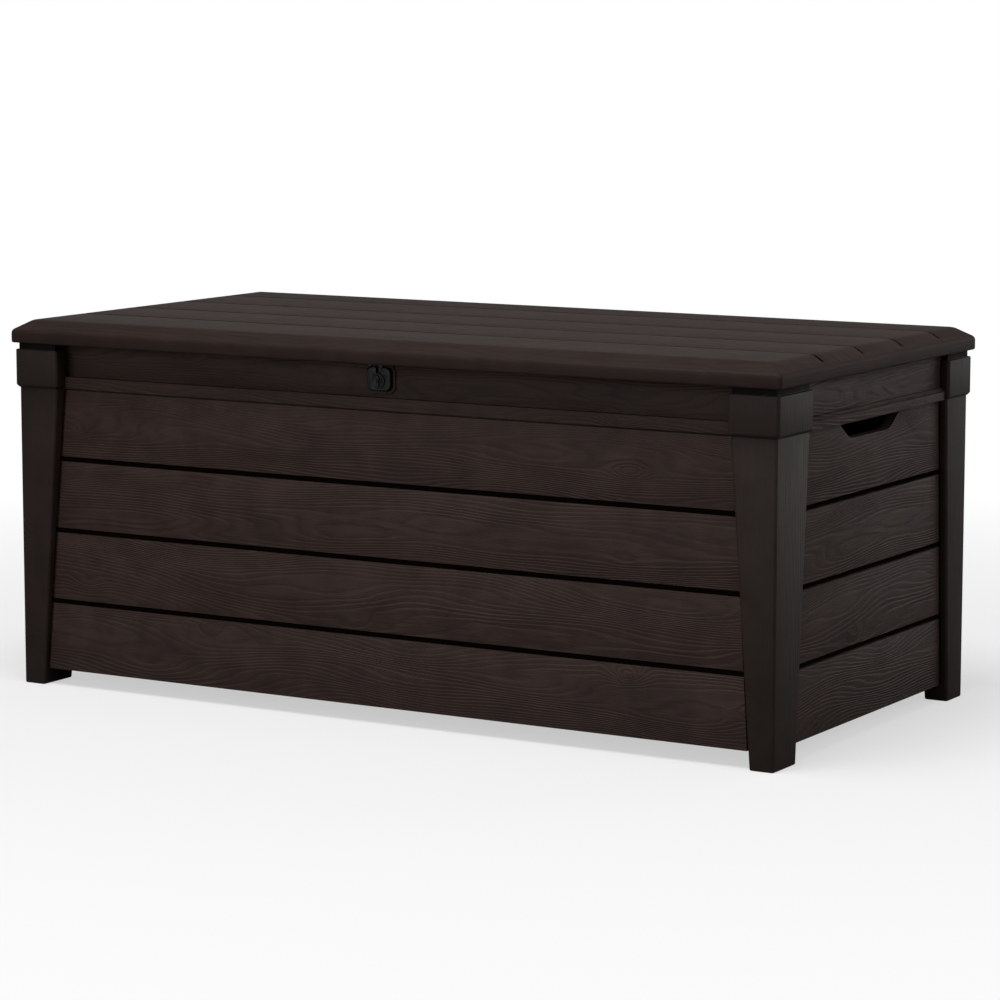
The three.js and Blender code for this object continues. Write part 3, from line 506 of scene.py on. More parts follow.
def board_resin(
    name,
    tint,
    along,
    across,
    board,
    rings=150.0,
    figure=10.0,
    depth=0.0008,
    rough=0.55,
    stretch=0.16,
    corner=False,
    gap_shade_height=0.0,
    shaded_gaps=99,
    contrast=1.0,
    gloss=0.15,
):
    """Brown resin with board grain that runs along one axis, each board with a figure of its own.

    along and across name the axes; board is (start, pitch) of the boards across, or None. On a
    corner, grain goes round from one face to the other. gap_shade_height is the height of the gap that
    starts each board but the first, painted near black and without gloss as painted shade for the
    shadow inside it, and shaded_gaps is how many such gaps there are.
    """
    material, tree, shader = fresh_material(name)
    axes = tree.node("ShaderNodeSeparateXYZ")
    tree.link(tree.node("ShaderNodeTexCoord").outputs["Object"], axes.inputs["Vector"])
    run = axes.outputs[along]
    rise = axes.outputs[across]
    if corner:
        rise = tree.math("ADD", axes.outputs["X"], axes.outputs["Y"])
    if board:
        start, pitch = board
        number = tree.math("FLOOR", tree.math("DIVIDE", tree.math("SUBTRACT", rise, start), pitch))
    else:
        number = 2.0
    grain = place_group(
        tree,
        group_named("Board grain", board_grain_group),
        Along=run,
        Across=rise,
        Board=number,
        Rings=rings,
        Figure=figure,
        Stretch=stretch,
    )
    wear = place_group(tree, group_named("Edge wear", wear_group), Amount=0.55)
    pale = rgba(tint, 1 + 0.18 * contrast)
    deep = rgba(tint, 1 - 0.18 * contrast)
    base = tree.mix(tree.between(grain["Streaks"], 0.34, 0.66), deep, pale)
    base = tree.mix(tree.between(grain["Relief"], 0.0, 0.3, 0.4 * contrast, 0.0), base, rgba(tint, 0.3))
    base = tree.mix(tree.between(wear["Mottle"], 0.4, 0.7, 0.0, 0.25), base, rgba(tint, 1.2))
    base = tree.mix(wear["Edges"], base, rgba(tint, 1.7))
    shine = gloss
    # Painted shade: the gap that starts each board is painted near black and loses its gloss, standing in
    # for the shadow inside the slat gaps and the lid grooves.
    if gap_shade_height:
        place = tree.math("FRACT", tree.math("DIVIDE", tree.math("SUBTRACT", rise, start), pitch))
        gap_shade_mask = tree.math("LESS_THAN", place, gap_shade_height / pitch)
        gap_shade_mask = tree.math("MULTIPLY", gap_shade_mask, tree.math("GREATER_THAN", number, 0.5))
        gap_shade_mask = tree.math("MULTIPLY", gap_shade_mask, tree.math("LESS_THAN", number, shaded_gaps + 0.5))
        base = tree.mix(tree.math("MULTIPLY", gap_shade_mask, 0.9), base, rgba(tint, 0.05))
        shine = tree.between(gap_shade_mask, 0.0, 1.0, gloss, 0.0)
    tree.feed(shader.inputs["Specular IOR Level"], shine)
    tree.link(base, shader.inputs["Base Color"])
    rough_value = tree.between(grain["Pores"], 0.3, 0.7, rough - 0.06, rough + 0.08)
    tree.link(rough_value, shader.inputs["Roughness"])
    height = tree.math("ADD", grain["Relief"], tree.math("MULTIPLY", grain["Pores"], 0.55))
    tree.link(tree.bump(height, 1.0, depth), shader.inputs["Normal"])
    return material


def plain_resin(name, tint, rough=0.5, scale=1400.0, depth=0.0002, gloss=0.3):
    material, tree, shader = fresh_material(name)
    skin = place_group(tree, group_named("Moulded skin", grain_skin_group), Scale=scale)
    wear = place_group(tree, group_named("Edge wear", wear_group), Amount=0.5)
    base = tree.mix(tree.between(skin["Patch"], 0.35, 0.65), rgba(tint, 0.85), rgba(tint, 1.15))
    base = tree.mix(wear["Edges"], base, rgba(tint, 2.0))
    tree.link(base, shader.inputs["Base Color"])
    rough_value = tree.between(skin["Patch"], 0.3, 0.7, rough - 0.05, rough + 0.07)
    tree.link(rough_value, shader.inputs["Roughness"])
    tree.link(tree.bump(skin["Height"], 0.6, depth), shader.inputs["Normal"])
    shader.inputs["Specular IOR Level"].default_value = gloss
    return material


def metal(name, tint, rough, metallic=1.0, spangle=0.08, scale=160.0):
    """Plated, painted or chromed steel with faint uneven polish."""
    material, tree, shader = fresh_material(name)
    where = tree.node("ShaderNodeTexCoord").outputs["Object"]
    patch = tree.noise(where, scale, 3.0, 0.6)
    base = tree.mix(tree.between(patch, 0.35, 0.65), rgba(tint, 1.0 - spangle), rgba(tint, 1.0 + spangle))
    tree.link(base, shader.inputs["Base Color"])
    tree.link(tree.between(patch, 0.3, 0.7, rough * 0.8, rough * 1.25), shader.inputs["Roughness"])
    shader.inputs["Metallic"].default_value = metallic
    tree.link(tree.bump(patch, 0.2, 0.0001), shader.inputs["Normal"])
    return material


def shared(name, make):
    return bpy.data.materials.get(name) or make()


def dark_resin():
    """The lock's and the strut ends' satin black plastic."""
    return shared("dark_resin", lambda: plain_resin("dark_resin", colours().black, 0.42, gloss=0.3))


# ---- walls ----
def levels():
    """Heights of the slats' lower and upper edges and of the rail, from the frame and the sizes."""
    s = sizes()
    bottom, rim = FRONT_WALL[0][2], FRONT_WALL[1][2]
    rail_top = rim - s.band_height
    rail_bottom = rail_top - s.rail_height
    slats_top = rail_bottom - s.rail_line
    slat = (slats_top - bottom - (SLATS - 1) * s.slat_gap) / SLATS
    lows = [bottom + i * (slat + s.slat_gap) for i in range(SLATS)]
    highs = [low + slat for low in lows]
    return bottom, rim, rail_top, rail_bottom, slats_top, lows, highs


def wall_shell(name, face, half, low_recess, top_recess, rail_recess, band_recess, post_edge):
    """A wall that faces -Y, face metres from the middle: leaning slats, gaps, rail, band, rim and lip.

    post_edge(side) is how far from the middle a post's inner edge is, at the ground and at its top.
    """
    s = sizes()
    bottom, rim, rail_top, rail_bottom, slats_top, lows, highs = levels()
    deselect()
    bpy.ops.mesh.primitive_plane_add(
        size=1,
        location=(0, low_recess - face, (bottom + rail_bottom) / 2),
        rotation=(math.pi / 2, 0, 0),
    )
    wall = named(name)
    wall.scale = (2 * half, rail_bottom - bottom, 1)
    bpy.ops.object.transform_apply(location=True, rotation=True, scale=True)
    bpy.ops.object.mode_set(mode="EDIT")
    lean = (top_recess - low_recess) * (rail_bottom - bottom) / (slats_top - bottom)
    pick(wall, "VERT", lambda at, _: at.z > rail_bottom - CLOSE)
    move(y=lean)
    gaps = list(zip(highs, lows[1:] + [rail_bottom]))
    for z in [z for gap in gaps for z in gap][:-1]:
        bpy.ops.mesh.select_all(action="SELECT")
        slice_through((0, 0, z), (0, 0, 1))
    for low, high in gaps:
        pick(wall, "FACE", lambda at, _: low < at.z < high and at.y < low_recess - face + lean + CLOSE)
        extrude(y=s.slat_gap_depth)
    top = low_recess + lean
    pick(wall, "EDGE", lambda at, way: at.z > rail_bottom - CLOSE and abs(at.y - top + face) < CLOSE)
    extrude(y=rail_recess - top)
    extrude(z=rail_top - rail_bottom)
    extrude(y=band_recess - rail_recess)
    extrude(z=rim - rail_top)
    extrude(y=RIM_BEAD - s.skin)
    pick(wall, "EDGE", lambda at, way: at.z < bottom + CLOSE and abs(way.x) > 0.9)
    extrude(y=s.lip - s.skin)
    end_slats_at_posts(wall, face, low_recess, lean / (rail_bottom - bottom), post_edge)
    leave()
    return wall


def end_slats_at_posts(wall, face, low_recess, slope, post_edge):
    """Sets the slats' ends back to the depth of the gaps, along the posts' tapered edges."""
    s = sizes()
    bottom, _, _, _, slats_top, _, _ = levels()
    end_wall = 0.0006
    for side in (-1, 1):
        foot, top = (x - s.slat_end_gap for x in post_edge(side))
        taper = (top - foot) / POST[1][2]
        for more in (0.0, end_wall):
            bpy.ops.mesh.select_all(action="SELECT")
            slice_through((side * (foot + more), 0, 0), (side, 0, -taper))

        def at_the_end(at, _):
            past = side * at.x > foot + taper * at.z + end_wall / 2
            front = abs(at.y - low_recess + face - slope * (at.z - bottom)) < NEAR
            return past and front and at.z < slats_top + CLOSE

        pick(wall, "VERT", at_the_end)
        move(y=s.slat_gap_depth)
    bpy.ops.mesh.select_all(action="SELECT")
    bpy.ops.mesh.remove_doubles(threshold=0.00005)


def thicken(wall):
    """Gives a wall's outer sheet its thickness inwards and rounds its edges."""
    s = sizes()
    modify(wall, "SOLIDIFY", thickness=s.skin, offset=-1, use_even_offset=True)
    soften(wall, s.edge, segments=3)


def joined(piece, *others):
    deselect()
    for other in others:
        other.select_set(True)
    piece.select_set(True)
    bpy.context.view_layer.objects.active = piece
    bpy.ops.object.join()
    return piece


def board_rows():
    """Where the boards of a wall start and how far apart they are, for the grain."""
    s = sizes()
    bottom, _, _, _, _, lows, _ = levels()
    return bottom - s.slat_gap + 0.0002, lows[1] - lows[0]


def wall_material(name, along):
    gap = sizes().slat_gap
    return shared(
        name,
        lambda: board_resin(
            name, colours().walls, along, "Z", board_rows(), gap_shade_height=gap, shaded_gaps=SLATS - 1
        ),
    )


class CHEST_OT_long_walls(bpy.types.Operator):
    """Front and back walls: leaning slats, rail and band, the lock's seat and the hinge knuckles"""

    bl_idname = "chest.long_walls"
    bl_label = "Long walls"

    def execute(self, context):
        s = sizes()
        reach = -POST[0][1]
        half = FRONT_WALL[1][0]
        front = wall_shell(
            "front_slats",
            reach,
            half,
            s.lean_bottom,
            s.lean_top,
            s.long_rail,
            s.long_band,
            lambda side: (POST[1][0] - s.foot_x, POST[0][0]),
        )
        thicken(front)
        back = turned_copy(front, "back_slats", math.pi)
        cut_lock_hole(front)
        joined(front, lock_seat(reach - s.long_band))
        joined(back, *hinge_ears(reach - s.long_band))
        for wall, node in ((front, "front_wall"), (back, "back_wall")):
            smooth(wall)
            dress(wall, wall_material("long_boards", "X"), "box", WOODLIKE, node)
        return {"FINISHED"}


def cut_lock_hole(wall):
    low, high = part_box("lock_backplate")
    clear = 0.0004
    cut_block(
        wall,
        (low[0] - clear, FRONT_WALL[0][1] - 0.01, low[2] - clear),
        (high[0] + clear, FRONT_WALL[1][1] + 0.02, high[2] + clear),
    )


def lock_seat(band):
    """The raised rounded frame moulded round the lock case."""
    margin_x, margin_z, proud = 0.006, 0.0045, 0.003
    seat = block(
        "seat",
        (CASE[0][0] - margin_x, -band - proud, CASE[0][2] - margin_z),
        (CASE[1][0] + margin_x, -band + 0.001, CASE[1][2] + margin_z),
    )
    pick(seat, "EDGE", lambda at, way: abs(way.y) > 0.9)
    round_edges(0.0135, 8)
    pick(seat, "FACE", lambda at, normal: normal.y < -0.9)
    bpy.ops.mesh.inset(thickness=0.0036)
    extrude(y=proud - 0.0002)
    leave()
    cut_lock_hole(seat)
    middle = (KNOB[0][0] + KNOB[1][0]) / 2
    cut_block(
        seat, (middle - 0.0065, -band - 0.01, CASE[1][2] - 0.01), (middle + 0.0065, -band, CASE[1][2] + 0.01)
    )
    soften(seat, 0.0007, segments=3)
    return seat


def hinge_ears(band):
    """Pairs of knuckles on gusseted arms, one pair at each hinge pin."""
    ears = []
    for place in HINGE_PINS:
        low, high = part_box("hinge_pin_" + place)
        mid = [(a + b) / 2 for a, b in zip(low, high)]
        middle = mid[0] + 0.001
        for side in (-1, 1):
            ears.append(hinge_ear(middle + side * 0.0216, mid[1], mid[2], band))
    return ears


def hinge_ear(x, y, z, band):
    half, radius = 0.009, 0.008
    arm = block("ear", (x - half, band - 0.001, z - 0.032), (x + half, y, z + radius - 0.001))
    pick(arm, "VERT", lambda at, _: at.y > y - 0.001 and at.z < z)
    move(z=0.032 - radius)
    leave()
    deselect()
    bpy.ops.mesh.primitive_cylinder_add(
        vertices=40, radius=radius, depth=2 * half, location=(x, y, z), rotation=(0, math.pi / 2, 0)
    )
    barrel = named("barrel")
    bpy.ops.object.transform_apply(location=True, rotation=True, scale=True)
    cut(arm, barrel, "UNION")
    soften(arm, 0.0008)
    return arm


class CHEST_OT_end_walls(bpy.types.Operator):
    """End walls: upright slats, a proud rail, a sleeved hand-hold and the strut's boss"""

    bl_idname = "chest.end_walls"
    bl_label = "End walls"

    def execute(self, context):
        s = sizes()
        reach = POST[1][0]
        half = END_WALL[1][1]
        right = wall_shell(
            "right_slats",
            reach,
            half,
            s.end_recess,
            s.end_recess,
            s.end_recess,
            s.end_recess,
            end_post_edge,
        )
        modify(right, "SOLIDIFY", thickness=s.skin, offset=-1, use_even_offset=True)
        cut(right, hand_hold_plug("hole", reach - s.end_recess, 0.0))
        soften(right, s.edge, segments=3)
        joined(right, hand_hold_sleeve(reach - s.end_recess), end_rail(reach), strut_boss(reach))
        turn(right, QUARTER_TURN)
        left = turned_copy(right, "left_slats", flip=(-1, 1, 1))
        for wall, node in ((right, "right_wall"), (left, "left_wall")):
            smooth(wall)
            dress(wall, wall_material("end_boards", "Y"), "box", WOODLIKE, node)
        return {"FINISHED"}


def end_post_edge(side):
    """Where an end wall's posts begin: the front post on the left, the back post on the right."""
    s = sizes()
    foot, post = (s.back_foot_y, BACK_POST) if side > 0 else (s.front_foot_y, POST)
    near, far = sorted(abs(y) for y in (post[0][1], post[1][1]))
    return far - foot, near


def hand_hold_plug(name, face, grow):
    """The hand-hold's own shape as a block through the wall: wide at the top, with rounded corners."""
    _, _, _, _, slats_top, _, _ = levels()
    top, height = slats_top - 0.001, 0.0245
    wide, narrow = 0.110, 0.074
    plug = block(
        name,
        (-wide - grow, -face - 0.002, top - height - grow),
        (wide + grow, -face + 0.017, top + grow),
    )
    pick(plug, "VERT", lambda at, _: at.z < top - height / 2)
    bpy.ops.transform.resize(
        value=((narrow + grow) / (wide + grow), 1, 1), center_override=(0, -face, top - height)
    )
    pick(plug, "EDGE", lambda at, way: abs(way.y) > 0.9 and at.z < top - height / 2)
    round_edges(0.012 + grow, 6)
    pick(
        plug,
        "EDGE",
        lambda at, way: abs(way.y) > 0.9 and at.z > top - height / 2 and abs(at.x) > wide - 0.005,
    )
    round_edges(0.004 + grow, 4)
    leave()
    return plug


def hand_hold_sleeve(face):
    s = sizes()
    sleeve = hand_hold_plug("sleeve", face, s.skin)
    cut_block(sleeve, (-0.2, -face - 0.01, 0.4), (0.2, -face + 0.001, 0.6))
    cut(sleeve, hand_hold_plug("hole", face + 0.004, 0.0))
    inner = hand_hold_plug("hole", face - 0.004, 0.0)
    cut(sleeve, inner)
    soften(sleeve, 0.0006)
    return sleeve


def end_rail(reach):
    """The proud rail between the caps, rounded along its top and at its ends."""
    s = sizes()
    _, _, rail_top, rail_bottom, _, _, _ = levels()
    left, right = CAP[1][1] + 0.001, BACK_CAP[0][1] - 0.001
    front = s.end_rail - reach
    rail = block("rail", (left, front, rail_bottom), (right, s.end_recess - reach + 0.001, rail_top))
    pick(rail, "EDGE", lambda at, way: at.y < front + 0.001 and at.z > rail_top - 0.001)
    round_edges(0.0062, 8, profile=0.2)
    pick(rail, "EDGE", lambda at, way: abs(way.z) > 0.9 and at.y < front + 0.001)
    round_edges(0.003, 4)
    leave()
    soften(rail, 0.0012, segments=3, angle=50)
    return rail


def strut_boss(reach):
    """The thickened patch inside an end wall that takes the strut bracket's screws."""
    s = sizes()
    low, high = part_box("strut_wall_bracket_right")
    pad = block(
        "boss",
        (low[1] - 0.002, -high[0] - 0.0003 - 0.0082, low[2] - 0.002),
        (high[1] + 0.002, -high[0] - 0.0003, high[2] + 0.002),
    )
    leave()
    soften(pad, 0.0012)
    return pad


# ---- posts and caps ----
def corner_pair(piece, base, end):
    """The piece drawn for the front right corner, and its mirror image, both for one end."""
    across = 1 if end == "front" else -1
    left = turned_copy(piece, "%s_%s_left" % (base, end), flip=(-1, across, 1))
    if across < 0:
        drawn = piece
        piece = turned_copy(drawn, "%s_%s_right" % (base, end), flip=(1, across, 1))
        discard(drawn)
    return {end + "_left": left, end + "_right": piece}


def upright_material():
    """Brown resin with fine upright grain on both faces of a corner."""
    return shared(
        "upright_grain",
        lambda: board_resin(
            "upright_grain",
            colours().posts,
            "Z",
            "X",
            None,
            rings=190.0,
            figure=3.5,
            depth=0.00018,
            rough=0.5,
            stretch=0.07,
            corner=True,
            contrast=0.15,
            gloss=0.16,
        ),
    )


class CHEST_OT_posts(bpy.types.Operator):
    """Corner posts, tapered towards the foot, slotted for the walls"""

    bl_idname = "chest.posts"
    bl_label = "Corner posts"

    def execute(self, context):
        s = sizes()
        for end, box, foot_y in (("front", POST, s.front_foot_y), ("back", BACK_POST, s.back_foot_y)):
            post = self.post(end, box[1][1] - box[0][1], foot_y)
            for place, piece in corner_pair(post, "post", end).items():
                smooth(piece)
                dress(piece, upright_material(), "box", WOODLIKE, "corner_post_" + place)
        return {"FINISHED"}

    def post(self, end, width, foot_y):
        s = sizes()
        low, high = (Vector(corner) for corner in POST)
        high.y = low.y + width
        clear = CLEARANCE
        post = block("post_%s_right" % end, low, high)
        pick(post, "VERT", lambda at, _: at.z < 0.001 and at.x < low.x + 0.001)
        move(x=high.x - low.x - s.foot_x)
        pick(post, "VERT", lambda at, _: at.z < 0.001 and at.y > high.y - 0.001)
        move(y=foot_y - width)
        pick(post, "EDGE", lambda at, way: abs(way.z) > 0.9)
        round_edges(s.post_corner, 6)
        pick(post, "EDGE", lambda at, way: at.z < 0.001)
        round_edges(0.0025, 3)
        leave()
        slot_end = FRONT_WALL[1][0] + clear
        shelf = FRONT_WALL[0][2] - clear
        depth = s.slat_gap_depth + s.skin
        end_face = high.x - s.end_recess
        end_wall = END_WALL[0][1] - clear
        lift = high.z + 0.01
        cut(post, leaning_block(low.x - 0.01, slot_end, low.y, -clear, depth + clear, shelf, lift))
        cut_block(post, (end_face - depth - clear, end_wall, shelf), (end_face + clear, 0, lift))
        inner = end_face - depth - clear - 0.003
        cut(post, leaning_block(low.x - 0.01, inner, low.y, depth + clear + 0.003, 0.2, shelf, lift))
        lip_top = shelf + s.skin + 2 * clear
        cut_block(post, (low.x - 0.01, low.y + s.lean_bottom - clear, shelf), (slot_end, 0, lip_top))
        cut_block(post, (low.x - 0.01, end_wall, shelf), (end_face + clear, 0, lip_top))
        soften(post, 0.0009, segments=2)
        return post


def leaning_block(left, right, face, front, back, low, high):
    """A cutter along X whose faces lean like the front slats, front and back metres behind them."""
    s = sizes()
    bottom, _, _, _, slats_top, _, _ = levels()
    slope = (s.lean_top - s.lean_bottom) / (slats_top - bottom)
    start = face + s.lean_bottom + (low - bottom) * slope
    cutter = block("cutter", (left, start + front, low), (right, start + back, high))
    pick(cutter, "VERT", lambda at, _: at.z > high - 0.001)
    move(y=(high - low) * slope)
    leave()
    return cutter


class CHEST_OT_caps(bpy.types.Operator):
    """Corner caps over the posts, each with the pad that the lid rests on"""

    bl_idname = "chest.caps"
    bl_label = "Corner caps"

    def execute(self, context):
        for end, box in (("front", CAP), ("back", BACK_CAP)):
            cap = self.cap(end, box[1][1] - box[0][1])
            for place, piece in corner_pair(cap, "cap", end).items():
                smooth(piece)
                dress(piece, upright_material(), "box", WOODLIKE, "corner_cap_" + place)
                self.paint_pad_shadow(piece)
        return {"FINISHED"}

    def cap(self, end, width):
        s = sizes()
        low, high = (Vector(corner) for corner in CAP)
        high.y = low.y + width
        clear = CLEARANCE
        shoulder = high.z - s.pad_height
        cap = block("cap_%s_right" % end, low, (high.x, high.y, shoulder))
        pick(cap, "EDGE", lambda at, way: abs(way.z) > 0.9)
        round_edges(s.post_corner + 0.001, 8)
        pick(cap, "EDGE", lambda at, way: at.z < low.z + NEAR)
        round_edges(s.cap_chamfer, 1)
        pick(cap, "EDGE", lambda at, way: at.z > shoulder - NEAR)
        round_edges(0.0018, 3)
        pick(cap, "FACE", lambda at, normal: normal.z > 0.99)
        bpy.ops.mesh.inset(thickness=0.0036)
        extrude(z=s.pad_height)
        leave()
        slot_end = FRONT_WALL[1][0] + clear
        band = POST[0][1] + s.long_band
        rail = POST[0][1] + s.long_rail
        end_face = POST[1][0] - s.end_recess
        depth = max(RIM_BEAD, s.slat_gap_depth + s.skin)
        end_wall = END_WALL[0][1] - clear
        under, over = low.z - 0.01, high.z + 0.01
        cut_block(cap, (low.x - 0.01, rail - clear, under), (slot_end, band + RIM_BEAD + clear, over))
        cut_block(cap, (end_face - depth - clear, end_wall, under), (end_face + clear, 0, over))
        inner = end_face - depth - clear - 0.003
        cut_block(cap, (low.x - 0.01, band + RIM_BEAD + clear + 0.003, under), (inner, 0, over))
        soften(cap, 0.0009, segments=2)
        return cap

    def paint_pad_shadow(self, cap):
        """The pad under the lid is moulded smooth; it is painted dark, as painted shadow for the shade that
        the lid casts on it.
        """
        cap.data.materials.append(shared("pad_shadow_resin", self.pad_shadow_material))
        shoulder = CAP[1][2] - sizes().pad_height
        for face in cap.data.polygons:
            if face.center.z > shoulder + 0.0004:
                face.material_index = 1

    def pad_shadow_material(self):
        # Painted shadow: the posts' resin at a quarter of its brightness, for the pad in the lid's shade.
        return plain_resin("pad_shadow_resin", [channel * 0.25 for channel in colours().posts], 0.7, gloss=0.1)


# ---- lid ----
def groove_places():
    s = sizes()
    first = LID[0][1] + s.lid_first_groove
    return [first + i * s.lid_groove_pitch for i in range(4)]


class CHEST_OT_lid(bpy.types.Operator):
    """Lid top: sloped edges all round and grooves between its boards that run down the ends"""

    bl_idname = "chest.lid"
    bl_label = "Lid"

    def execute(self, context):
        s = sizes()
        low, high = (Vector(corner) for corner in LID)
        edge_top = low.z + s.fascia
        lid = block("lid_boards", low, (high.x, high.y, edge_top))
        pick(lid, "EDGE", lambda at, way: abs(way.z) > 0.9)
        round_edges(s.lid_corner, 8)
        pick(lid, "FACE", lambda at, normal: normal.z > 0.9)
        extrude(z=high.z - edge_top)
        bpy.ops.transform.resize(
            value=(1 - s.bevel_run / high.x, 1 - s.bevel_run / high.y, 1), center_override=(0, 0, high.z)
        )
        pick(lid, "EDGE", lambda at, way: at.z > high.z - NEAR)
        round_edges(s.lid_crown, 6)
        pick(lid, "EDGE", lambda at, way: abs(at.z - edge_top) < NEAR and abs(way.z) < 0.05)
        round_edges(s.lid_shoulder, 5)
        self.cut_grooves(lid, high)
        pick(lid, "FACE", lambda at, normal: normal.z < -0.9 and at.z < low.z + NEAR)
        bpy.ops.mesh.delete(type="FACE")
        leave()
        modify(lid, "SOLIDIFY", thickness=0.0039, offset=-1, use_even_offset=False)
        self.round_lower_edge(lid, low, high)
        soften(lid, 0.0011, segments=3, angle=50)
        smooth(lid, 30)
        dress(lid, self.top_material(), "lid", "lid_resin", "lid_top")
        lid.data.materials.append(self.end_material())
        for face in lid.data.polygons:
            if abs(face.center.x) > high.x - GROOVE_STOP:
                face.material_index = 1
        return {"FINISHED"}

    def round_lower_edge(self, lid, low, high):
        corner = sizes().lid_corner
        activate(lid)
        bpy.ops.object.mode_set(mode="EDIT")

        def outer(at, _):
            past_x = max(abs(at.x) - high.x + corner, 0.0)
            past_y = max(abs(at.y) - high.y + corner, 0.0)
            return at.z < low.z + CLOSE and math.hypot(past_x, past_y) > corner - 0.0015

        pick(lid, "EDGE", outer)
        round_edges(0.0032, 4)
        leave()

    def cut_grooves(self, lid, high):
        s = sizes()
        stop = high.x - GROOVE_STOP
        half = s.lid_groove_width / 2
        for y in groove_places():
            for side in (-half, half):
                bpy.ops.mesh.select_all(action="SELECT")
                slice_through((0, y + side, 0), (0, 1, 0))
            strip = lambda at, normal: abs(at.y - y) < half and normal.z > 0.2
            for x in (-stop, stop):
                pick(lid, "FACE", strip)
                slice_through((x, 0, 0), (1, 0, 0))
            pick(lid, "FACE", lambda at, normal: strip(at, normal) and abs(at.x) < stop)
            extrude(z=-s.lid_groove_depth)

    def top_material(self):
        s = sizes()
        first = groove_places()[0] - s.lid_groove_width / 2
        rows = (first - s.lid_groove_pitch, s.lid_groove_pitch)
        return board_resin(
            "lid_boards_grain",
            colours().lid,
            "X",
            "Y",
            rows,
            rings=120.0,
            figure=5.0,
            depth=0.0006,
            rough=0.46,
            contrast=0.6,
            gloss=0.08,
            gap_shade_height=s.lid_groove_width,
        )

    def end_material(self):
        return board_resin(
            "lid_end_grain",
            colours().lid,
            "Y",
            "Z",
            None,
            rings=170.0,
            depth=0.0001,
            contrast=0.2,
            gloss=0.08,
        )


# ---- lock ----
class CHEST_OT_lock(bpy.types.Operator):
    """Lock: rounded black case with a dished face and a notch, and the knob with its grip"""

    bl_idname = "chest.lock"
    bl_label = "Lock"

    def execute(self, context):
        black = dark_resin()
        case = self.case()
        smooth(case)
        dress(case, black, "box", "black_plastic", "lock_case")
        knob = self.knob()
        smooth(knob)
        dress(knob, black, "lock_barrel", "black_plastic", "lock_knob")
        return {"FINISHED"}

    def case(self):
        low, high = (Vector(corner) for corner in CASE)
        plate_low, plate_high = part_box("lock_backplate")
        knob_low, knob_high = (Vector(corner) for corner in KNOB)
        _, tongue_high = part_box("lock_tongue")
        back = POST[0][1] + sizes().long_band - 0.0003
        case = block("lock_housing", low, (high.x, back, high.z))
        pick(case, "EDGE", lambda at, way: abs(way.y) > 0.9)
        round_edges(0.011, 10)
        pick(case, "EDGE", lambda at, way: at.y < low.y + NEAR)
        round_edges(0.0018, 4)
        leave()
        body = block(
            "body", (plate_low[0], back - 0.002, plate_low[2]), (plate_high[0], high.y, plate_high[2])
        )
        leave()
        cut(case, body, "UNION")
        middle = (knob_low + knob_high) / 2
        dish = disc("dish", (middle.x, low.y, middle.z), (knob_high.x - knob_low.x) / 2 + 0.001, 0.005)
        leave()
        cut(case, dish)
        throat = tongue_high[1] + 0.001
        chamber = throat - 0.0038
        reach, hook = 0.0155, 0.0065
        cut_block(
            case,
            (middle.x - hook, chamber, middle.z - 0.0085),
            (middle.x + reach, high.y + 0.001, middle.z + reach),
        )
        cut_block(
            case, (middle.x - hook, chamber, middle.z), (middle.x + hook, throat, high.z + 0.001)
        )
        cut_block(
            case,
            (middle.x - 0.005, low.y - 0.001, middle.z + 0.013),
            (middle.x + 0.005, chamber + 0.001, high.z + 0.001),
        )
        bore = disc("bore", (middle.x, low.y, middle.z), 0.00435, 0.016)
        leave()
        cut(case, bore)
        soften(case, 0.0005)
        return case

    def knob(self):
        low, high = (Vector(corner) for corner in KNOB)
        middle = (low + high) / 2
        radius = (high.x - low.x) / 2
        face, back = low.y + 0.003, CASE[0][1] + 0.0022
        knob = disc("lock_turn_knob", (middle.x, (face + back) / 2, middle.z), radius, back - face)
        pick(knob, "FACE", lambda at, normal: normal.y < -0.9)
        bpy.ops.mesh.inset(thickness=0.0018)
        extrude(y=0.0008)
        leave()
        half_width, half_height = 0.0026, 0.0092
        grip = block(
            "grip",
            (middle.x - half_width, low.y, middle.z - half_height),
            (middle.x + half_width, face + 0.002, middle.z + half_height),
        )
        pick(grip, "EDGE", lambda at, way: abs(way.y) > 0.9)
        round_edges(0.0024, 5)
        leave()
        cut(knob, grip, "UNION")
        seat = (middle.x, (back + high.y) / 2 - 0.001, middle.z)
        shaft = disc("shaft", seat, 0.004, high.y - back + 0.002, 32)
        leave()
        cut(knob, shaft, "UNION")
        cut_block(
            knob,
            (middle.x - 0.0007, low.y - 0.001, middle.z - 0.0036),
            (middle.x + 0.0007, low.y + 0.0022, middle.z + 0.0036),
        )
        soften(knob, 0.0004)
        return knob


# ---- the rest of the frame, which keeps its shape ----
class CHEST_OT_fittings(bpy.types.Operator):
    """Finishes for the lining, floor, bars, brackets, screws, pins and gas struts"""

    bl_idname = "chest.fittings"
    bl_label = "Fittings"

    def execute(self, context):
        c = colours()
        inside_resin = plain_resin("inside_resin", c.inside, 0.55)
        black = dark_resin()
        zinc = metal("zinc_plate", c.zinc, 0.34)
        chrome = metal("hard_chrome", c.chrome, 0.08, spangle=0.02, scale=60.0)
        enamel = metal("strut_enamel", c.enamel, 0.22, metallic=0.0, spangle=0.15, scale=40.0)
        for name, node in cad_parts.items():
            node.data.materials.clear()
            node.data.materials.append(self.finish(name, inside_resin, black, zinc, chrome, enamel))
        return {"FINISHED"}

    def finish(self, name, inside_resin, black, zinc, chrome, enamel):
        if name.startswith("strut_rod"):
            return chrome
        if name.startswith("strut_tube"):
            return enamel
        if "socket" in name or name in ("lock_case", "lock_backplate", "lock_knob"):
            return black
        # Painted shade: the lock's steel tongue and its screws take the dark enamel instead of zinc, so they
        # look as dark as the lid's shadow over them.
        if name.startswith("tongue_screw") or name == "lock_tongue":
            return enamel
        if name in ("floor_panel", "lid_liner", "lid_top") or name.endswith("wall") or "corner" in name:
            return inside_resin
        return zinc


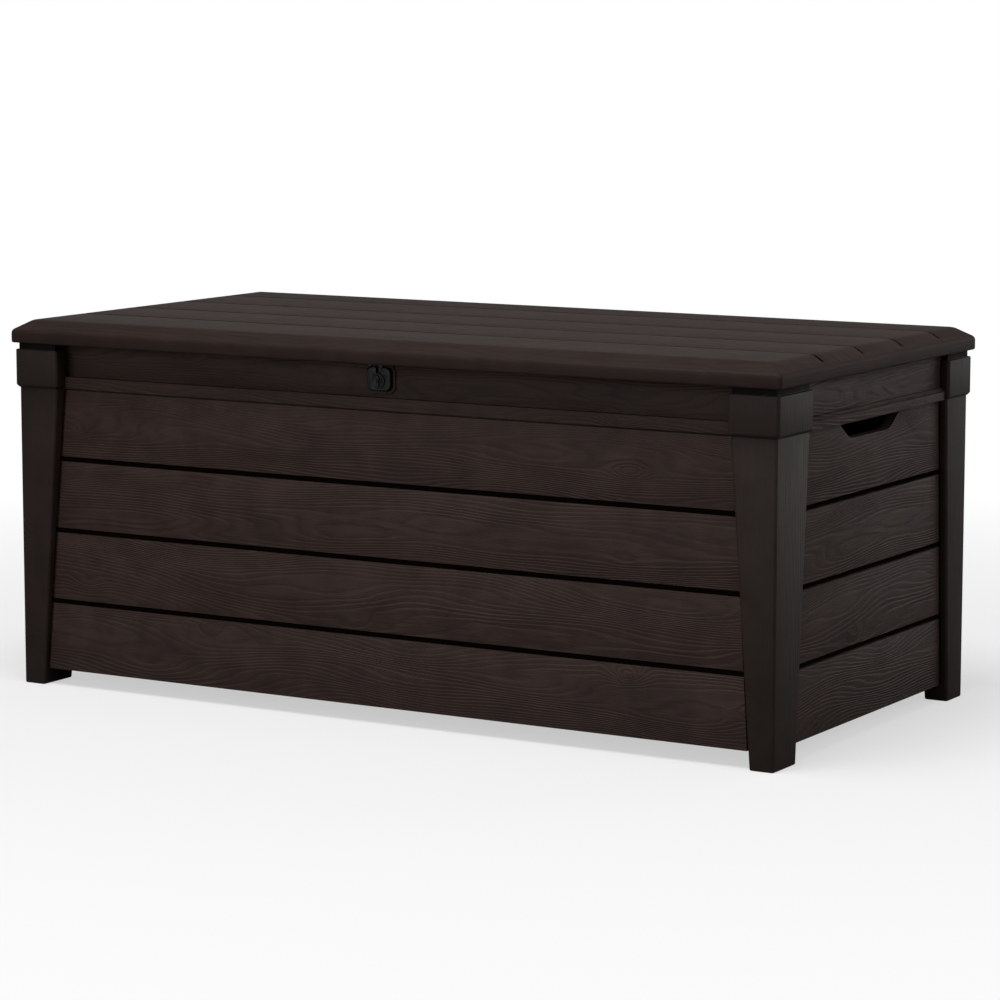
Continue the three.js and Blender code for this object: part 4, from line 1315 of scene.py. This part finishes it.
# ---- stage ----
class CHEST_OT_stage(bpy.types.Operator):
    """Pale floor, soft studio light and the camera"""

    bl_idname = "chest.stage"
    bl_label = "Studio"

    def execute(self, context):
        self.floor()
        self.world(context)
        self.camera(context)
        self.light("key", (4.4, -0.4, 2.6), 2.0, 29.0)
        self.light("back", (2.8, 4.2, 1.0), 2.4, 29.0)
        self.light("top", (0.0, -1.4, 4.2), 2.2, 110.0)
        self.light("fill", (-1.2, -5.2, 1.6), 2.6, 52.0)
        view = context.scene.view_settings
        view.view_transform = "Standard"
        view.look = "None"
        return {"FINISHED"}

    def floor(self):
        """A white floor with soft shadows, which throws back less light than it shows."""
        deselect()
        bpy.ops.mesh.primitive_plane_add(size=60, location=(0, 0, 0))
        ground = named("studio_floor")
        material, tree, shader = fresh_material("studio_floor")
        where = tree.node("ShaderNodeTexCoord").outputs["Object"]
        shade = rgba(colours().floor)
        mottled = tree.mix(tree.noise(where, 0.6), shade, rgba(colours().floor, 1.02))
        seen = tree.node("ShaderNodeLightPath").outputs["Is Camera Ray"]
        tree.link(tree.mix(seen, rgba(colours().floor, 0.3), mottled), shader.inputs["Base Color"])
        shader.inputs["Roughness"].default_value = 0.9
        shader.inputs["Specular IOR Level"].default_value = 0.0
        away = tree.node("ShaderNodeVectorMath", operation="LENGTH")
        tree.link(where, away.inputs[0])
        glow = tree.node("ShaderNodeEmission")
        blend = tree.node("ShaderNodeMixShader")
        far = tree.between(away.outputs["Value"], 0.9, 2.6, 0.55, 1.0)
        tree.link(tree.math("MULTIPLY", seen, far), blend.inputs["Fac"])
        tree.link(shader.outputs[0], blend.inputs[1])
        tree.link(glow.outputs[0], blend.inputs[2])
        tree.link(blend.outputs[0], material.node_tree.nodes["Material Output"].inputs["Surface"])
        ground.data.materials.append(material)

    def world(self, context):
        """White to the camera, and a dimmer white for the light it gives."""
        ambient = 0.27
        world = bpy.data.worlds.new("studio")
        world.use_nodes = True
        tree = Shader(world.node_tree)
        seen = world.node_tree.nodes["Background"]
        seen.inputs["Color"].default_value = (1, 1, 1, 1)
        glow = tree.node("ShaderNodeBackground")
        glow.inputs["Color"].default_value = (1, 1, 1, 1)
        glow.inputs["Strength"].default_value = ambient
        blend = tree.node("ShaderNodeMixShader")
        tree.link(tree.node("ShaderNodeLightPath").outputs["Is Camera Ray"], blend.inputs["Fac"])
        tree.link(glow.outputs[0], blend.inputs[1])
        tree.link(seen.outputs[0], blend.inputs[2])
        tree.link(blend.outputs[0], world.node_tree.nodes["World Output"].inputs["Surface"])
        context.scene.world = world

    def camera(self, context):
        camera = bpy.data.cameras.new("view")
        sensor = 36
        camera.sensor_width = sensor
        camera.lens = 3.567 * sensor
        camera.clip_end = 200
        seat = bpy.data.objects.new("view", camera)
        seat.location = (3.05751, -5.11631, 1.16165)
        seat.rotation_euler = (math.radians(90 - 7.998), math.radians(-0.034), math.radians(30.685))
        context.scene.collection.objects.link(seat)
        context.scene.camera = seat

    def light(self, name, place, size, power):
        lamp = bpy.data.lights.new(name, "AREA")
        lamp.shape = "SQUARE"
        lamp.size = size
        lamp.energy = power
        holder = bpy.data.objects.new(name, lamp)
        holder.location = place
        aim = Vector((0, 0, 0.35)) - Vector(place)
        holder.rotation_euler = aim.to_track_quat("-Z", "Y").to_euler()
        bpy.context.scene.collection.objects.link(holder)


class CHEST_PT_panel(bpy.types.Panel):
    """The chest's sizes, colours and the operators that make it"""

    bl_idname = "CHEST_PT_panel"
    bl_label = "Deck storage box"
    bl_space_type = "VIEW_3D"
    bl_region_type = "UI"
    bl_category = "Deck box"

    def draw(self, context):
        layout = self.layout
        for group in (context.scene.chest_sizes, context.scene.chest_colours):
            for key in group.__annotations__:
                layout.prop(group, key)
        for maker in MAKERS:
            layout.operator(maker.bl_idname)


MAKERS = (
    CHEST_OT_fittings,
    CHEST_OT_long_walls,
    CHEST_OT_end_walls,
    CHEST_OT_posts,
    CHEST_OT_caps,
    CHEST_OT_lid,
    CHEST_OT_lock,
    CHEST_OT_stage,
)
GROUPS = (ChestSizes, ChestColours)


def register():
    for group in GROUPS + MAKERS + (CHEST_PT_panel,):
        bpy.utils.register_class(group)
    bpy.types.Scene.chest_sizes = bpy.props.PointerProperty(type=ChestSizes)
    bpy.types.Scene.chest_colours = bpy.props.PointerProperty(type=ChestColours)


def unregister():
    del bpy.types.Scene.chest_colours
    del bpy.types.Scene.chest_sizes
    for group in reversed(GROUPS + MAKERS + (CHEST_PT_panel,)):
        bpy.utils.unregister_class(group)


def main():
    register()
    for maker in MAKERS:
        family, action = maker.bl_idname.split(".")
        getattr(getattr(bpy.ops, family), action)()


if __name__ == "__main__":
    main()
